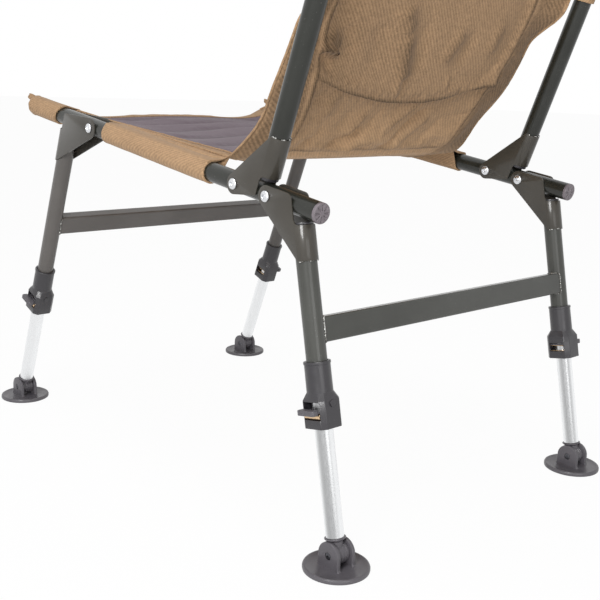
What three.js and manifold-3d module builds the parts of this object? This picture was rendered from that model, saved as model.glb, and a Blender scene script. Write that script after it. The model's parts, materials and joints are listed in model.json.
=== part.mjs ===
// Folding carp fishing chair: steel tube frame, padded seat and back, telescopic legs on swivel mud feet.
// Millimetres, +Z up. The sitter faces -Y and has +X on the left. The origin lies on the ground, mid chair.

import * as THREE from "three";
import { mergeVertices } from "three/addons/utils/BufferGeometryUtils.js";
import Module from "manifold-3d";

const wasm = await Module();
wasm.setup();

const { degToRad } = THREE.MathUtils;

// Clearances and faceting
const fitGap = 0.3;
const cutOverrun = 4;
const tubeSides = 16;
const smallSides = 12;
const arcSteps = 4;
const cornerSteps = 3;

// Side rails
const tubeRadius = 12.5;
const tubeWall = 1.2;
const railSpacing = 500;
const railLength = 675;
const railFrontOverhang = 190;
const railSlope = degToRad(8.18);
const railRearOverhang = 78.6;
const rearPivotSpacing = 61.7;
const frontPivotHeight = 483;

// Legs: lean from the upright, offset of the tube from its pivot bolt, lengths measured along the tube
const frontLegLean = degToRad(21.4);
const frontLegOffset = 74.4;
const frontCollarDrop = 286;
const frontCrossbarDrop = 201;
const rearLegLean = degToRad(11.6);
const rearLegOffset = 44;
const rearCollarDrop = 195;
const rearCrossbarDrop = 160;
const legTubeTopDrop = 38;
const crossbarHeight = 30;
const crossbarDepth = 20;
const crossbarCorner = 3;
const crossbarWall = 1.5;

// Backrest frame
const backrestLean = degToRad(20);
const backrestOffset = 42.6;
const backrestTubeStart = 31;
const backrestTubeTop = 590;
const bowBendRadius = 70;
const bowRise = 95;

// Stamped hinge brackets
const sheetThickness = 1.5;
const frontEarRadius = 15;
const frontShoulderRadius = 6;
const frontShoulderRise = 3;
const frontWrapLength = 49;
const rearEarRadius = 13;
const rearShoulderRadius = 8;
const rearShoulderRise = 5;
const rearWrapLength = 41;
const backEarRadius = 12.5;
const backShoulderRadius = 4;
const backShoulderRise = 0.5;
const backWrapLength = 49;
const bracketFillet = 7;

// Pivot bolts
const boltRadius = 4;
const boltHeadRadius = 7;
const boltHeadHeight = 3.6;
const boltSocketRadius = 2.6;
const boltSocketDepth = 2;
const boltDomeShare = 0.8;
const boltBrimShare = 0.75;

// End plugs
const plugFlangeThickness = 4.5;
const plugStemLength = 16;
const plugSpokeDepth = 1.2;
const plugSpokeWidth = 1.6;
const plugHubRadius = 3.4;
const plugRimWidth = 2.2;
const plugSpokeCount = 8;

// Leg adjuster: round collar over a square box with a window on each side
const collarRadius = 15.7;
const collarLength = 36;
const collarSeat = 32;
const boxWidth = 34;
const boxDepth = 38;
const boxHeight = 33;
const boxCorner = 6;
const shoulderHeight = 8.5;
const cavityWidth = 26;
const cavityDepth = 28.6;
const windowTopDrop = 1.5;
const windowHeight = 21;
const innerWindowHeight = 12.5;
const outerWindowDepth = 27.6;
const innerWindowDepth = 24;

// Lock lever and its leaf spring
const leverPlateThickness = 2.2;
const leverPlateDrop = 11;
const leverPlateDepth = 26.8;
const leverFulcrumInset = 12.6;
const leverBoreClearance = 0.9;
const thumbTabDepth = 28;
const thumbTabReach = 10;
const thumbTabThickness = 6.4;
const thumbTabCorner = 3;
const leafThickness = 0.8;
const leafDepth = 25.6;

// Extension tube
const extensionRadius = 11;
const extensionWall = 1.2;
const extensionInsert = 42;

// Mud foot
const footRadius = 40.3;
const footThickness = 6;
const footRim = 1.6;
const footPinRise = 14;
const cheekRadius = 16.8;
const cheekThickness = 5.2;
const knuckleWidth = 18.2;
const knuckleRadius = 12.9;
const knuckleStemRadius = 9.5;
const knuckleSocketLip = 13;
const knuckleNeckRadius = 8.8;
const knuckleStemLength = 15;
const lipHeight = 2.4;
const lipDrop = 19.5;
const footPinRadius = 2.6;
const footPinHeadRadius = 4.4;
const footPinHeadDepth = 2;

// Seat and back padding
const sleeveWall = 2.6;
const sleeveWebThickness = 7;
const seatWebOverlap = 8;
const frontSleeveEnd = -107;
const rearSleeveStart = 36;
const creaseSetForward = 61.7;
const sleeveTail = 26;
const sleeveTailNeck = 4.5;
const sleeveTailNeckAt = 7;
const sleeveTailTip = 3;
const seatEdgeInset = 19;
const seatThickness = 27;
const seatFrontSag = 38;
const seatRearSag = 3;
const seatFrontLevel = 6;
const seatRearLevel = 17;
const seatCrown = 4;
const backEdgeInset = 21;
const backThickness = 36;
const backCrown = 8;
const backHollow = 22;
const backPadStart = 268;
const backPadSetForward = 26;
const channelDepth = 6;
const channelPitch = 84;
const cushionSides = 24;
const cushionStep = 28;
const cushionEndStep = 7;
const waistSteps = 11;
const creaseReach = 10;
const creaseRoundOver = 72;
const waistRiseReach = 138;
const sleeveStartAbove = 12;
const sleeveSides = 12;
const channelSharpness = 3;
const seatBasin = 6;
const backBasin = 2;
const bendSteps = 5;
const legPlugThickness = 3.2;
const edgeRoundShare = 0.5;
const faceRoundShare = 0.35;
const hemShare = 0.3;
const creaseShare = 0.35;
const topWidthShare = 0.86;

const rearLegPivotSetback = railLength - railFrontOverhang - railRearOverhang;
const backrestPivotSetback = rearLegPivotSetback - rearPivotSpacing;
const seatRearEdge = backrestPivotSetback - creaseSetForward;
const seatHalfWidth = railSpacing / 2 - seatEdgeInset;
const backHalfWidth = railSpacing / 2 - backEdgeInset;
const bracketInner = tubeRadius + fitGap;
const bracketOuter = bracketInner + sheetThickness;
const footPinHeight = footThickness + footPinRise;
const hoopSteps = 2 * (bendSteps + 2);

// Materials
function finish(color, roughness, metalness) {
  return new THREE.MeshStandardMaterial({ color, roughness, metalness });
}

const paintedSteel = finish(0x3f4540, 0.38, 0.35);
const brightAluminium = finish(0xd9dbde, 0.25, 0.95);
const zincSteel = finish(0xc8cacb, 0.3, 0.9);
const springBrass = finish(0xd8b878, 0.35, 0.85);
const blackPlastic = finish(0x3a383d, 0.5, 0);
const greyPlastic = finish(0x4c4a50, 0.55, 0);
const tanFabric = finish(0x9c7c54, 0.95, 0);

// Solids

function solidOf(geometry) {
  const bare = geometry.clone();
  bare.deleteAttribute("normal");
  bare.deleteAttribute("uv");
  const merged = mergeVertices(bare);
  const corners = merged.index.array;
  const kept = [];
  for (let i = 0; i < corners.length; i += 3) {
    const [a, b, c] = [corners[i], corners[i + 1], corners[i + 2]];
    if (a !== b && b !== c && c !== a) kept.push(a, b, c);
  }
  const vertProperties = merged.attributes.position.array;
  return new wasm.Manifold(new wasm.Mesh({ numProp: 3, vertProperties, triVerts: Uint32Array.from(kept) }));
}

function meshOf(name, solid, material) {
  const { numProp, vertProperties, triVerts } = solid.getMesh();
  const geometry = new THREE.BufferGeometry();
  const positions = new THREE.BufferAttribute(vertProperties.slice(), numProp);
  geometry.setAttribute("position", positions);
  geometry.setIndex(new THREE.BufferAttribute(triVerts.slice(), 1));
  geometry.computeVertexNormals();
  const mesh = new THREE.Mesh(geometry, material);
  mesh.name = name;
  return mesh;
}

function joined(solids) {
  return solids.reduce((whole, next) => whole.add(next));
}

// Outlines

function polygonShape(points) {
  return new THREE.Shape(points.map(([a, b]) => new THREE.Vector2(a, b)));
}

function arcPoints(cx, cy, radius, from, to, steps = arcSteps) {
  return Array.from({ length: steps + 1 }, (_, i) => {
    const angle = from + ((to - from) * i) / steps;
    return [cx + radius * Math.cos(angle), cy + radius * Math.sin(angle)];
  });
}

function circlePoints(radius, sides, cx = 0, cy = 0) {
  return arcPoints(cx, cy, radius, 0, 2 * Math.PI, sides).slice(0, -1);
}

function roundedRectPoints(width, height, corner, steps = cornerSteps) {
  const [w, h] = [width / 2 - corner, height / 2 - corner];
  const quarter = Math.PI / 2;
  const centres = [[w, h], [-w, h], [-w, -h], [w, -h]];
  return centres.flatMap(([cx, cy], i) => arcPoints(cx, cy, corner, i * quarter, (i + 1) * quarter, steps));
}

// Extrusions and revolves

function upward(points, length, hole = null) {
  const shape = polygonShape(points);
  if (hole) shape.holes.push(polygonShape(hole));
  return new THREE.ExtrudeGeometry(shape, { depth: length, bevelEnabled: false });
}

// An outline in the side plane (y, z), carried across X and centred on it
function acrossChair(points, width, hole = null) {
  const toSidePlane = new THREE.Matrix4().makeBasis(
    new THREE.Vector3(0, 1, 0),
    new THREE.Vector3(0, 0, 1),
    new THREE.Vector3(1, 0, 0),
  );
  return upward(points, width, hole).translate(0, 0, -width / 2).applyMatrix4(toSidePlane);
}

// A profile of [radius, height] turned about Z
function turned(profile, sides = tubeSides) {
  const points = profile.map(([radius, height]) => new THREE.Vector2(radius, height));
  return new THREE.LatheGeometry(points, sides).rotateX(Math.PI / 2);
}

// The same, with its axis along X
function turnedAcross(profile, sides = smallSides) {
  return turned(profile, sides).rotateY(Math.PI / 2);
}

function rod(radius, from, to, sides = tubeSides) {
  return turned([[0, from], [radius, from], [radius, to], [0, to]], sides);
}

function rodAcross(radius, from, to, sides = smallSides) {
  return turnedAcross([[0, from], [radius, from], [radius, to], [0, to]], sides);
}

function pipe(radius, wall, from, to, sides = tubeSides) {
  const inner = radius - wall;
  return turned([[inner, from], [radius, from], [radius, to], [inner, to], [inner, from]], sides);
}

// Frame tubes

function sideRail() {
  const rail = solidOf(pipe(tubeRadius, tubeWall, 0, railLength).rotateX(-Math.PI / 2));
  const boltHoles = [0, backrestPivotSetback, rearLegPivotSetback].map((setback) => {
    const reach = tubeRadius + cutOverrun;
    const hole = rodAcross(boltRadius + fitGap, -reach, reach);
    return solidOf(hole.translate(0, railFrontOverhang + setback, 0));
  });
  return rail.subtract(joined(boltHoles));
}

// A moulded end plug: flange with a spoked face, and a stem in the tube. The face looks along +Z.
function endPlug(flangeThickness = plugFlangeThickness) {
  const stemRadius = tubeRadius - tubeWall - fitGap;
  return solidOf(turned([
    [0, -plugStemLength],
    [stemRadius, -plugStemLength],
    [stemRadius, fitGap],
    [tubeRadius, fitGap],
    [tubeRadius, flangeThickness - tubeWall],
    [tubeRadius - tubeWall, flangeThickness],
    [0, flangeThickness],
  ]));
}

function spokedPlug() {
  const reach = tubeRadius - plugRimWidth;
  const length = reach - plugHubRadius;
  const pitch = (2 * Math.PI) / plugSpokeCount;
  const grooves = Array.from({ length: plugSpokeCount }, (_, i) => {
    const groove = new THREE.BoxGeometry(length, plugSpokeWidth, 2 * plugSpokeDepth);
    groove.translate(plugHubRadius + length / 2, 0, plugFlangeThickness);
    return solidOf(groove.rotateZ((i + 1 / 2) * pitch));
  });
  return endPlug().subtract(joined(grooves));
}

// A domed bolt through both cheeks and the rail: socket head on the outer side (+X), round nut on the inner
function pivotBolt() {
  const seat = bracketOuter + fitGap;
  const top = seat + boltHeadHeight;
  const domeRadius = boltDomeShare * boltHeadRadius;
  return solidOf(turnedAcross([
    [0, -top],
    [domeRadius, -top],
    [boltHeadRadius, -seat],
    [boltRadius, -seat],
    [boltRadius, seat],
    [boltHeadRadius, seat],
    [domeRadius, seat + boltBrimShare * boltHeadHeight],
    [boltSocketRadius, top],
    [boltSocketRadius, top - boltSocketDepth],
    [0, top - boltSocketDepth],
  ]));
}

// Stamped hinge bracket. Its plane has the pivot at (0, 0), the first axis towards the tube and the second
// away from the rail along the tube. The rail runs through the pivot, tilted by the given angle.

function bracketOutline({ offset, tilt, ear, shoulder, rise, wrapStart, wrapLength }) {
  const wrapEnd = wrapStart + wrapLength;
  const farSide = offset + bracketOuter + cutOverrun;
  const cornerAcross = offset - shoulder;
  const cornerAlong = cornerAcross * Math.tan(tilt) - rise / Math.cos(tilt);
  const cornerReach = Math.hypot(cornerAcross, cornerAlong);
  const cornerBearing = Math.atan2(cornerAlong, cornerAcross);
  const lowTangent = cornerBearing - Math.acos((ear - shoulder) / cornerReach);
  const webBearing = Math.atan2(wrapEnd, offset);
  const webTangent = webBearing + Math.acos(ear / Math.hypot(offset, wrapEnd));
  const filletAlong = wrapStart - bracketFillet;
  return [
    ...arcPoints(0, 0, ear, webTangent, 2 * Math.PI + lowTangent, 2 * arcSteps),
    ...arcPoints(cornerAcross, cornerAlong, shoulder, lowTangent, 0),
    ...arcPoints(offset + bracketFillet, filletAlong, bracketFillet, Math.PI, Math.PI / 2),
    [farSide, wrapStart],
    [farSide, wrapEnd],
    [offset, wrapEnd],
  ];
}

// Cheeks either side of the rail, running on into a half round wrap behind the tube
function wrapPlan(offset, reach) {
  const half = Math.PI / 2;
  const steps = tubeSides / 2;
  return [
    [bracketOuter, -reach],
    ...arcPoints(0, offset, bracketOuter, 0, 2 * half, steps),
    [-bracketOuter, -reach],
    [-bracketInner, -reach],
    ...arcPoints(0, offset, bracketInner, 2 * half, 0, steps),
    [bracketInner, -reach],
  ];
}

function hingeBracket(sizes) {
  const reach = sizes.ear + cutOverrun;
  const wrapEnd = sizes.wrapStart + sizes.wrapLength;
  const overWidth = bracketOuter + cutOverrun;
  const side = solidOf(acrossChair(bracketOutline(sizes), 2 * overWidth));
  const folded = upward(wrapPlan(sizes.offset, reach), reach + wrapEnd + cutOverrun).translate(0, 0, -reach);
  const hole = solidOf(rodAcross(boltRadius + fitGap, -overWidth, overWidth));
  return side.intersect(solidOf(folded)).subtract(hole);
}

// Crossbar: rectangular tube with its ends coped to the round leg tubes
function crossbar() {
  const outer = roundedRectPoints(crossbarDepth, crossbarHeight, crossbarCorner);
  const [boreDepth, boreHeight] = [crossbarDepth - 2 * crossbarWall, crossbarHeight - 2 * crossbarWall];
  const bore = roundedRectPoints(boreDepth, boreHeight, crossbarCorner - crossbarWall);
  const bar = solidOf(acrossChair(outer, railSpacing, bore));
  const cope = crossbarHeight / 2 + cutOverrun;
  const copes = [-1, 1].map((side) => {
    return solidOf(rod(tubeRadius + fitGap, -cope, cope).translate((side * railSpacing) / 2, 0, 0));
  });
  return bar.subtract(joined(copes));
}

// Leg adjuster, with its origin at the collar's top and the outer side of the chair towards +X

const boxTop = -collarLength - shoulderHeight;
const boxBottom = boxTop - boxHeight;
const cavityTop = boxTop - windowTopDrop;
const cavityBottom = cavityTop - windowHeight;
const leverLevel = cavityTop - leverPlateDrop;

function ringBetween(lower, upper) {
  const count = lower.length;
  const positions = [...lower, ...upper].flat();
  const faces = [];
  for (let i = 0; i < count; i += 1) {
    const next = (i + 1) % count;
    faces.push(i, next, count + next, i, count + next, count + i);
  }
  for (let i = 1; i < count - 1; i += 1) {
    faces.push(0, i + 1, i, count, count + i, count + i + 1);
  }
  const geometry = new THREE.BufferGeometry();
  geometry.setAttribute("position", new THREE.Float32BufferAttribute(positions, 3));
  geometry.setIndex(faces);
  return geometry;
}

function adjusterHousing() {
  const corners = roundedRectPoints(boxWidth, boxDepth, boxCorner, 1);
  const neck = corners.map(([x, y]) => {
    const share = (collarRadius - fitGap) / Math.hypot(x, y);
    return [x * share, y * share, boxTop + shoulderHeight];
  });
  const shoulder = solidOf(ringBetween(corners.map(([x, y]) => [x, y, boxTop]), neck));
  const box = solidOf(upward(corners, boxHeight).translate(0, 0, boxBottom));
  const collar = solidOf(rod(collarRadius, boxTop, 0));
  const legBore = solidOf(rod(tubeRadius + fitGap, -collarSeat, cutOverrun));
  const tubeBore = solidOf(rod(extensionRadius + fitGap, boxBottom - cutOverrun, 0));
  const cavity = new THREE.BoxGeometry(cavityWidth, cavityDepth, windowHeight);
  cavity.translate(0, 0, cavityBottom + windowHeight / 2);
  const outerWindow = new THREE.BoxGeometry(boxWidth, outerWindowDepth, windowHeight);
  outerWindow.translate(boxWidth / 2, 0, cavityBottom + windowHeight / 2);
  const innerWindow = new THREE.BoxGeometry(boxWidth, innerWindowDepth, innerWindowHeight);
  innerWindow.translate(-boxWidth / 2, 0, cavityBottom + innerWindowHeight / 2);
  const cuts = [solidOf(cavity), solidOf(outerWindow), solidOf(innerWindow), legBore, tubeBore];
  return box.add(shoulder).add(collar).subtract(joined(cuts));
}

// Lock lever: a plate round the extension tube, with a thumb tab outside the window
function lockLever() {
  const plateEnd = boxWidth / 2 + fitGap;
  const plate = new THREE.BoxGeometry(leverFulcrumInset + plateEnd, leverPlateDepth, leverPlateThickness);
  plate.translate((plateEnd - leverFulcrumInset) / 2, 0, 0);
  const tab = upward(roundedRectPoints(thumbTabReach, thumbTabDepth, thumbTabCorner), thumbTabThickness);
  tab.translate(plateEnd + thumbTabReach / 2, 0, -thumbTabThickness / 2);
  const bore = rod(extensionRadius + leverBoreClearance, -leverPlateThickness, leverPlateThickness);
  return solidOf(plate).subtract(solidOf(bore)).add(solidOf(tab));
}

// Leaf spring: a strip bent back on itself under the lever, with a slot for the extension tube
function leafSpring() {
  const rise = leverLevel - leverPlateThickness / 2 - cavityBottom - 2 * fitGap;
  const bend = rise / 2;
  const bendAt = boxWidth / 2 - bend;
  const start = -cavityWidth / 2 + fitGap;
  const quarter = Math.PI / 2;
  const strip = [
    [start, 0],
    ...arcPoints(bendAt, bend, bend, -quarter, quarter),
    [start, rise],
    [start, rise - leafThickness],
    ...arcPoints(bendAt, bend, bend - leafThickness, quarter, -quarter),
    [start, leafThickness],
  ];
  const leaf = upward(strip, leafDepth).rotateX(quarter);
  leaf.translate(0, leafDepth / 2, cavityBottom + fitGap);
  const slot = rod(extensionRadius + leverBoreClearance, cavityBottom, leverLevel);
  return solidOf(leaf).subtract(solidOf(slot));
}

// Mud foot, with its origin on the swivel pin

function footKnuckle() {
  const barrel = solidOf(rodAcross(knuckleRadius, -knuckleWidth / 2, knuckleWidth / 2, tubeSides));
  const stem = solidOf(turned([
    [0, 0],
    [knuckleNeckRadius, 0],
    [knuckleNeckRadius, lipDrop - lipHeight],
    [knuckleSocketLip, lipDrop - lipHeight / 2],
    [knuckleSocketLip, lipDrop],
    [knuckleStemRadius, lipDrop],
    [knuckleStemRadius, lipDrop + knuckleStemLength],
    [0, lipDrop + knuckleStemLength],
  ]));
  const pinBore = solidOf(rodAcross(footPinRadius + fitGap, -knuckleWidth, knuckleWidth));
  return barrel.add(stem).subtract(pinBore);
}

function footPad() {
  const disc = solidOf(turned([
    [0, 0],
    [footRadius, 0],
    [footRadius, footThickness - footRim],
    [footRadius - footRim, footThickness],
    [0, footThickness],
  ], 2 * tubeSides).translate(0, 0, -footPinHeight));
  const outline = [
    ...arcPoints(0, 0, cheekRadius, 0, Math.PI, 2 * arcSteps),
    [-cheekRadius, -footPinRise - footRim],
    [cheekRadius, -footPinRise - footRim],
  ];
  const cheekAt = knuckleWidth / 2 + fitGap + cheekThickness / 2;
  const cheeks = [-1, 1].map((side) => {
    return solidOf(acrossChair(outline, cheekThickness).translate(side * cheekAt, 0, 0));
  });
  const outerFace = cheekAt + cheekThickness / 2;
  const pinBore = solidOf(rodAcross(footPinRadius + fitGap, -outerFace - cutOverrun, outerFace + cutOverrun));
  const headSeats = [-1, 1].map((side) => {
    const seat = rodAcross(footPinHeadRadius + fitGap, outerFace - footPinHeadDepth, outerFace + cutOverrun);
    return solidOf(side > 0 ? seat : seat.rotateZ(Math.PI));
  });
  return disc.add(joined(cheeks)).subtract(joined([pinBore, ...headSeats]));
}

function footPin() {
  const outerFace = knuckleWidth / 2 + fitGap + cheekThickness;
  const headSeat = outerFace - footPinHeadDepth + fitGap;
  const headTop = outerFace - fitGap;
  return solidOf(turnedAcross([
    [0, -headTop],
    [footPinHeadRadius, -headTop],
    [footPinHeadRadius, -headSeat],
    [footPinRadius, -headSeat],
    [footPinRadius, headSeat],
    [footPinHeadRadius, headSeat],
    [footPinHeadRadius, headTop],
    [0, headTop],
  ]));
}

// Cushions: closed lofts along a centre line in the side plane. Each station gives its place, its forward
// or upward normal, and the thickness, hollow and crown of the padding there.

function cushionRing({ centre, normal, halfWidth, thickness, hollow, basin, face }) {
  return Array.from({ length: cushionSides }, (_, i) => {
    const angle = (2 * Math.PI * (i + 1 / 2)) / cushionSides;
    const [cosine, sine] = [Math.cos(angle), Math.sin(angle)];
    const across = Math.sign(cosine) * Math.abs(cosine) ** edgeRoundShare;
    const level = Math.sign(sine) * Math.abs(sine) ** edgeRoundShare;
    const inward = 1 - across ** 2;
    const raised = sine > 0 ? face * inward ** faceRoundShare : 0;
    const height = (level * thickness) / 2 - hollow * (1 - Math.abs(across) ** basin) + raised;
    return [halfWidth * across, centre[0] + normal[0] * height, centre[1] + normal[1] * height];
  });
}

function loft(rings) {
  const sides = rings[0].length;
  const faces = [];
  for (let r = 0; r < rings.length - 1; r += 1) {
    for (let i = 0; i < sides; i += 1) {
      const next = (i + 1) % sides;
      const [a, b] = [r * sides + i, r * sides + next];
      faces.push(a, a + sides, b, b, a + sides, b + sides);
    }
  }
  const last = (rings.length - 1) * sides;
  for (let i = 1; i < sides - 1; i += 1) {
    faces.push(0, i, i + 1, last, last + i + 1, last + i);
  }
  const geometry = new THREE.BufferGeometry();
  geometry.setAttribute("position", new THREE.Float32BufferAttribute(rings.flat(2), 3));
  geometry.setIndex(faces);
  return geometry;
}

// Sewn channels run across the cushion, one every pitch
function channelAt(distance) {
  const wave = (1 + Math.cos((2 * Math.PI * distance) / channelPitch)) / 2;
  return channelDepth * wave ** channelSharpness;
}

// Thickness that rounds off towards an end
function endFilled(distance, roundOver, endShare) {
  const short = THREE.MathUtils.clamp(1 - distance / roundOver, 0, 1);
  return endShare + (1 - endShare) * Math.sqrt(1 - short ** 2);
}

function stationsBetween(from, to, nearFrom, nearTo) {
  const count = Math.round((to - from) / cushionStep);
  const even = Array.from({ length: count + 1 }, (_, i) => from + ((to - from) * i) / count);
  const added = [...nearFrom.map((gap) => from + gap), ...nearTo.map((gap) => to - gap)];
  return [...even, ...added].sort((a, b) => a - b);
}

// A fabric web from the cushion's edge to a frame tube, as a plan outline
function webPlan([x0, y0], [x1, y1]) {
  const half = sleeveWebThickness / 2;
  const outline = [[x0, y0 - half], [x1, y1 - half], [x1, y1 + half], [x0, y0 + half]];
  return x1 > x0 ? outline : outline.reverse();
}

const sleeveRadius = bracketInner + sleeveWall;

function seatCushion() {
  const front = -railFrontOverhang;
  const places = stationsBetween(front, seatRearEdge, [cushionEndStep], [cushionEndStep]);
  const rings = places.map((along) => {
    const fill = endFilled(along - front, seatThickness / 2, hemShare)
      * endFilled(seatRearEdge - along, seatThickness, creaseShare);
    const share = (along - front) / (seatRearEdge - front);
    return cushionRing({
      centre: [along, seatFrontLevel + (seatRearLevel - seatFrontLevel) * share],
      normal: [0, 1],
      halfWidth: seatHalfWidth,
      thickness: seatThickness * fill,
      hollow: seatFrontSag + (seatRearSag - seatFrontSag) * share,
      basin: seatBasin,
      face: (seatCrown - channelAt(seatRearEdge - along)) * fill,
    });
  });
  return solidOf(loft(rings));
}

// The seat padding with its two sleeves on each rail; the front ones end in a gathered tail
function seatPad() {
  const quarter = Math.PI / 2;
  const front = -railFrontOverhang;
  const sections = [[front, frontSleeveEnd], [rearSleeveStart, seatRearEdge]];
  const parts = [-1, 1].flatMap((side) => {
    const rail = (side * railSpacing) / 2;
    const plan = webPlan([side * (seatHalfWidth - seatWebOverlap), seatFrontLevel], [rail, tubeRadius]);
    const sleeves = sections.flatMap(([from, to]) => [
      upward(plan, to - from).rotateX(quarter).translate(0, to, 0),
      rod(sleeveRadius, from, to, sleeveSides).rotateX(-quarter).translate(rail, 0, 0),
    ]);
    const tail = turned([
      [0, -sleeveWall - sleeveTail],
      [sleeveTailTip, -sleeveWall - sleeveTail],
      [sleeveTailNeck, -sleeveWall - sleeveTailNeckAt],
      [sleeveRadius, -sleeveWall],
      [sleeveRadius, 0],
      [0, 0],
    ], sleeveSides);
    return [...sleeves, tail.rotateX(-quarter).translate(rail, front, 0)].map(solidOf);
  });
  const bores = [-1, 1].map((side) => {
    const bore = rod(tubeRadius + fitGap, front - fitGap, seatRearEdge + cutOverrun).rotateX(-quarter);
    return solidOf(bore.translate((side * railSpacing) / 2, 0, 0));
  });
  return seatCushion().add(joined(parts)).subtract(joined(bores));
}

// The backrest hoop's top: straight up, a quarter bend, straight across, a quarter bend, straight down
class HoopTop extends THREE.Curve {
  getUtoTmapping(u) {
    return u;
  }

  getPoint(t) {
    const start = backrestTubeTop + fitGap;
    const halfLevel = railSpacing / 2 - bowBendRadius;
    const riser = bowRise - bowBendRadius;
    const side = t < 1 / 2 ? 1 : -1;
    const stage = Math.min(t, 1 - t) * hoopSteps;
    const angle = (Math.PI / 2) * THREE.MathUtils.clamp((stage - 1) / bendSteps, 0, 1);
    const levelLeft = 1 - Math.max(0, stage - 1 - bendSteps);
    const across = halfLevel * levelLeft + bowBendRadius * Math.cos(angle);
    const up = start + riser * Math.min(stage, 1) + bowBendRadius * Math.sin(angle);
    return new THREE.Vector3(side * across, backrestOffset, up);
  }
}

function hoopTop(radius, wall) {
  const shape = polygonShape(circlePoints(radius, smallSides));
  if (wall) shape.holes.push(polygonShape(circlePoints(radius - wall, smallSides)));
  const options = { steps: hoopSteps, extrudePath: new HoopTop(), bevelEnabled: false };
  return new THREE.ExtrudeGeometry(shape, options);
}

const backPadLevel = backrestOffset - backPadSetForward;
const backPadTop = backrestTubeTop + bowRise - tubeRadius;

function backCushion() {
  const places = stationsBetween(backPadStart, backPadTop, [], [cushionEndStep]);
  const rings = places.map((along) => {
    const fill = endFilled(backPadTop - along, backThickness, hemShare);
    return cushionRing({
      centre: [backPadLevel, along],
      normal: [-1, 0],
      halfWidth: backHalfWidth * endFilled(backPadTop - along, bowBendRadius, topWidthShare),
      thickness: backThickness * fill,
      hollow: -backHollow,
      basin: backBasin,
      face: (backCrown - channelAt(along)) * fill,
    });
  });
  return solidOf(loft(rings));
}

// The back padding with its long pocket over the hoop
function backPad() {
  const sleeveStart = backPadStart + sleeveStartAbove;
  const length = backPadTop - bowBendRadius - sleeveStart;
  const parts = [-1, 1].flatMap((side) => {
    const tube = (side * railSpacing) / 2;
    const plan = webPlan([side * (backHalfWidth - sleeveRadius), backPadLevel], [tube, backrestOffset]);
    const sleeve = rod(sleeveRadius, sleeveStart, backrestTubeTop + fitGap, sleeveSides);
    return [
      upward(plan, length).translate(0, 0, sleeveStart),
      sleeve.translate(tube, backrestOffset, 0),
    ].map(solidOf);
  });
  const halfLevel = railSpacing / 2 - bowBendRadius;
  const bendStart = backrestTubeTop + bowRise - bowBendRadius;
  const head = upward([
    ...arcPoints(halfLevel, bendStart, bowBendRadius, 0, Math.PI / 2, bendSteps),
    ...arcPoints(-halfLevel, bendStart, bowBendRadius, Math.PI / 2, Math.PI, bendSteps),
  ], backPadSetForward).rotateX(Math.PI / 2).translate(0, backrestOffset, 0);
  const bores = [-1, 1].map((side) => {
    const bore = rod(tubeRadius + fitGap, sleeveStart - cutOverrun, backrestTubeTop + 2 * fitGap);
    return solidOf(bore.translate((side * railSpacing) / 2, backrestOffset, 0));
  });
  const sleeved = backCushion().add(joined(parts)).add(solidOf(head)).add(solidOf(hoopTop(sleeveRadius)));
  return sleeved.subtract(joined(bores)).subtract(solidOf(hoopTop(tubeRadius + fitGap)));
}

// The lower back padding, which bends as the backrest folds: from the crease at the seat up to the back pad
function waistPad() {
  const tilt = backrestLean - railSlope;
  const ahead = seatRearEdge + fitGap - backrestPivotSetback;
  const alongRail = new THREE.Vector3(0, Math.cos(tilt), Math.sin(tilt));
  const offRail = new THREE.Vector3(0, -Math.sin(tilt), Math.cos(tilt));
  const start = alongRail.clone().multiplyScalar(ahead).addScaledVector(offRail, seatRearLevel);
  const end = new THREE.Vector3(0, backPadLevel, backPadStart - fitGap);
  const path = new THREE.CubicBezierCurve3(
    start,
    start.clone().addScaledVector(alongRail, creaseReach),
    end.clone().setZ(end.z - waistRiseReach),
    end,
  );
  const rings = Array.from({ length: waistSteps + 1 }, (_, i) => {
    const share = i / waistSteps;
    const spot = path.getPointAt(share);
    const tangent = path.getTangentAt(share);
    const ease = THREE.MathUtils.smoothstep(share, 0, 1);
    const fill = endFilled(share * path.getLength(), creaseRoundOver, creaseShare);
    return cushionRing({
      centre: [spot.y, spot.z],
      normal: [-tangent.z, tangent.y],
      halfWidth: seatHalfWidth + (backHalfWidth - seatHalfWidth) * share,
      thickness: (seatThickness + (backThickness - seatThickness) * share) * fill,
      hollow: seatRearSag - (seatRearSag + backHollow) * ease,
      basin: seatBasin + (backBasin - seatBasin) * ease,
      face: (backCrown - channelAt((1 - share) * path.getLength() - backPadStart)) * share,
    });
  });
  return solidOf(loft(rings));
}

// Assembly

const chair = new THREE.Group();

function place(parent, name, solid, material, position = [0, 0, 0], rotation = [0, 0, 0]) {
  const mesh = meshOf(name, solid, material);
  mesh.position.set(...position);
  mesh.rotation.set(...rotation);
  parent.add(mesh);
  return mesh;
}

function frameAt(parent, position, tilt = 0) {
  const group = new THREE.Group();
  group.position.set(...position);
  group.rotation.x = tilt;
  parent.add(group);
  return group;
}

const sides = [["left", 1], ["right", -1]];
const seat = frameAt(chair, [0, 0, frontPivotHeight], -railSlope);

function addSeat() {
  const bolts = [
    ["front_leg", 0],
    ["backrest", backrestPivotSetback],
    ["rear_leg", rearLegPivotSetback],
  ];
  const railEnd = railLength - railFrontOverhang;
  for (const [side, sign] of sides) {
    const x = (sign * railSpacing) / 2;
    place(seat, `rail_${side}`, sideRail(), paintedSteel, [x, -railFrontOverhang, 0]);
    place(seat, `rail_end_plug_${side}`, spokedPlug(), blackPlastic, [x, railEnd, 0], [-Math.PI / 2, 0, 0]);
    for (const [joint, setback] of bolts) {
      const turn = [0, 0, sign > 0 ? 0 : Math.PI];
      place(seat, `${joint}_pivot_bolt_${side}`, pivotBolt(), zincSteel, [x, setback, 0], turn);
    }
  }
  place(seat, "seat_pad", seatPad(), tanFabric);
}

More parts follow.
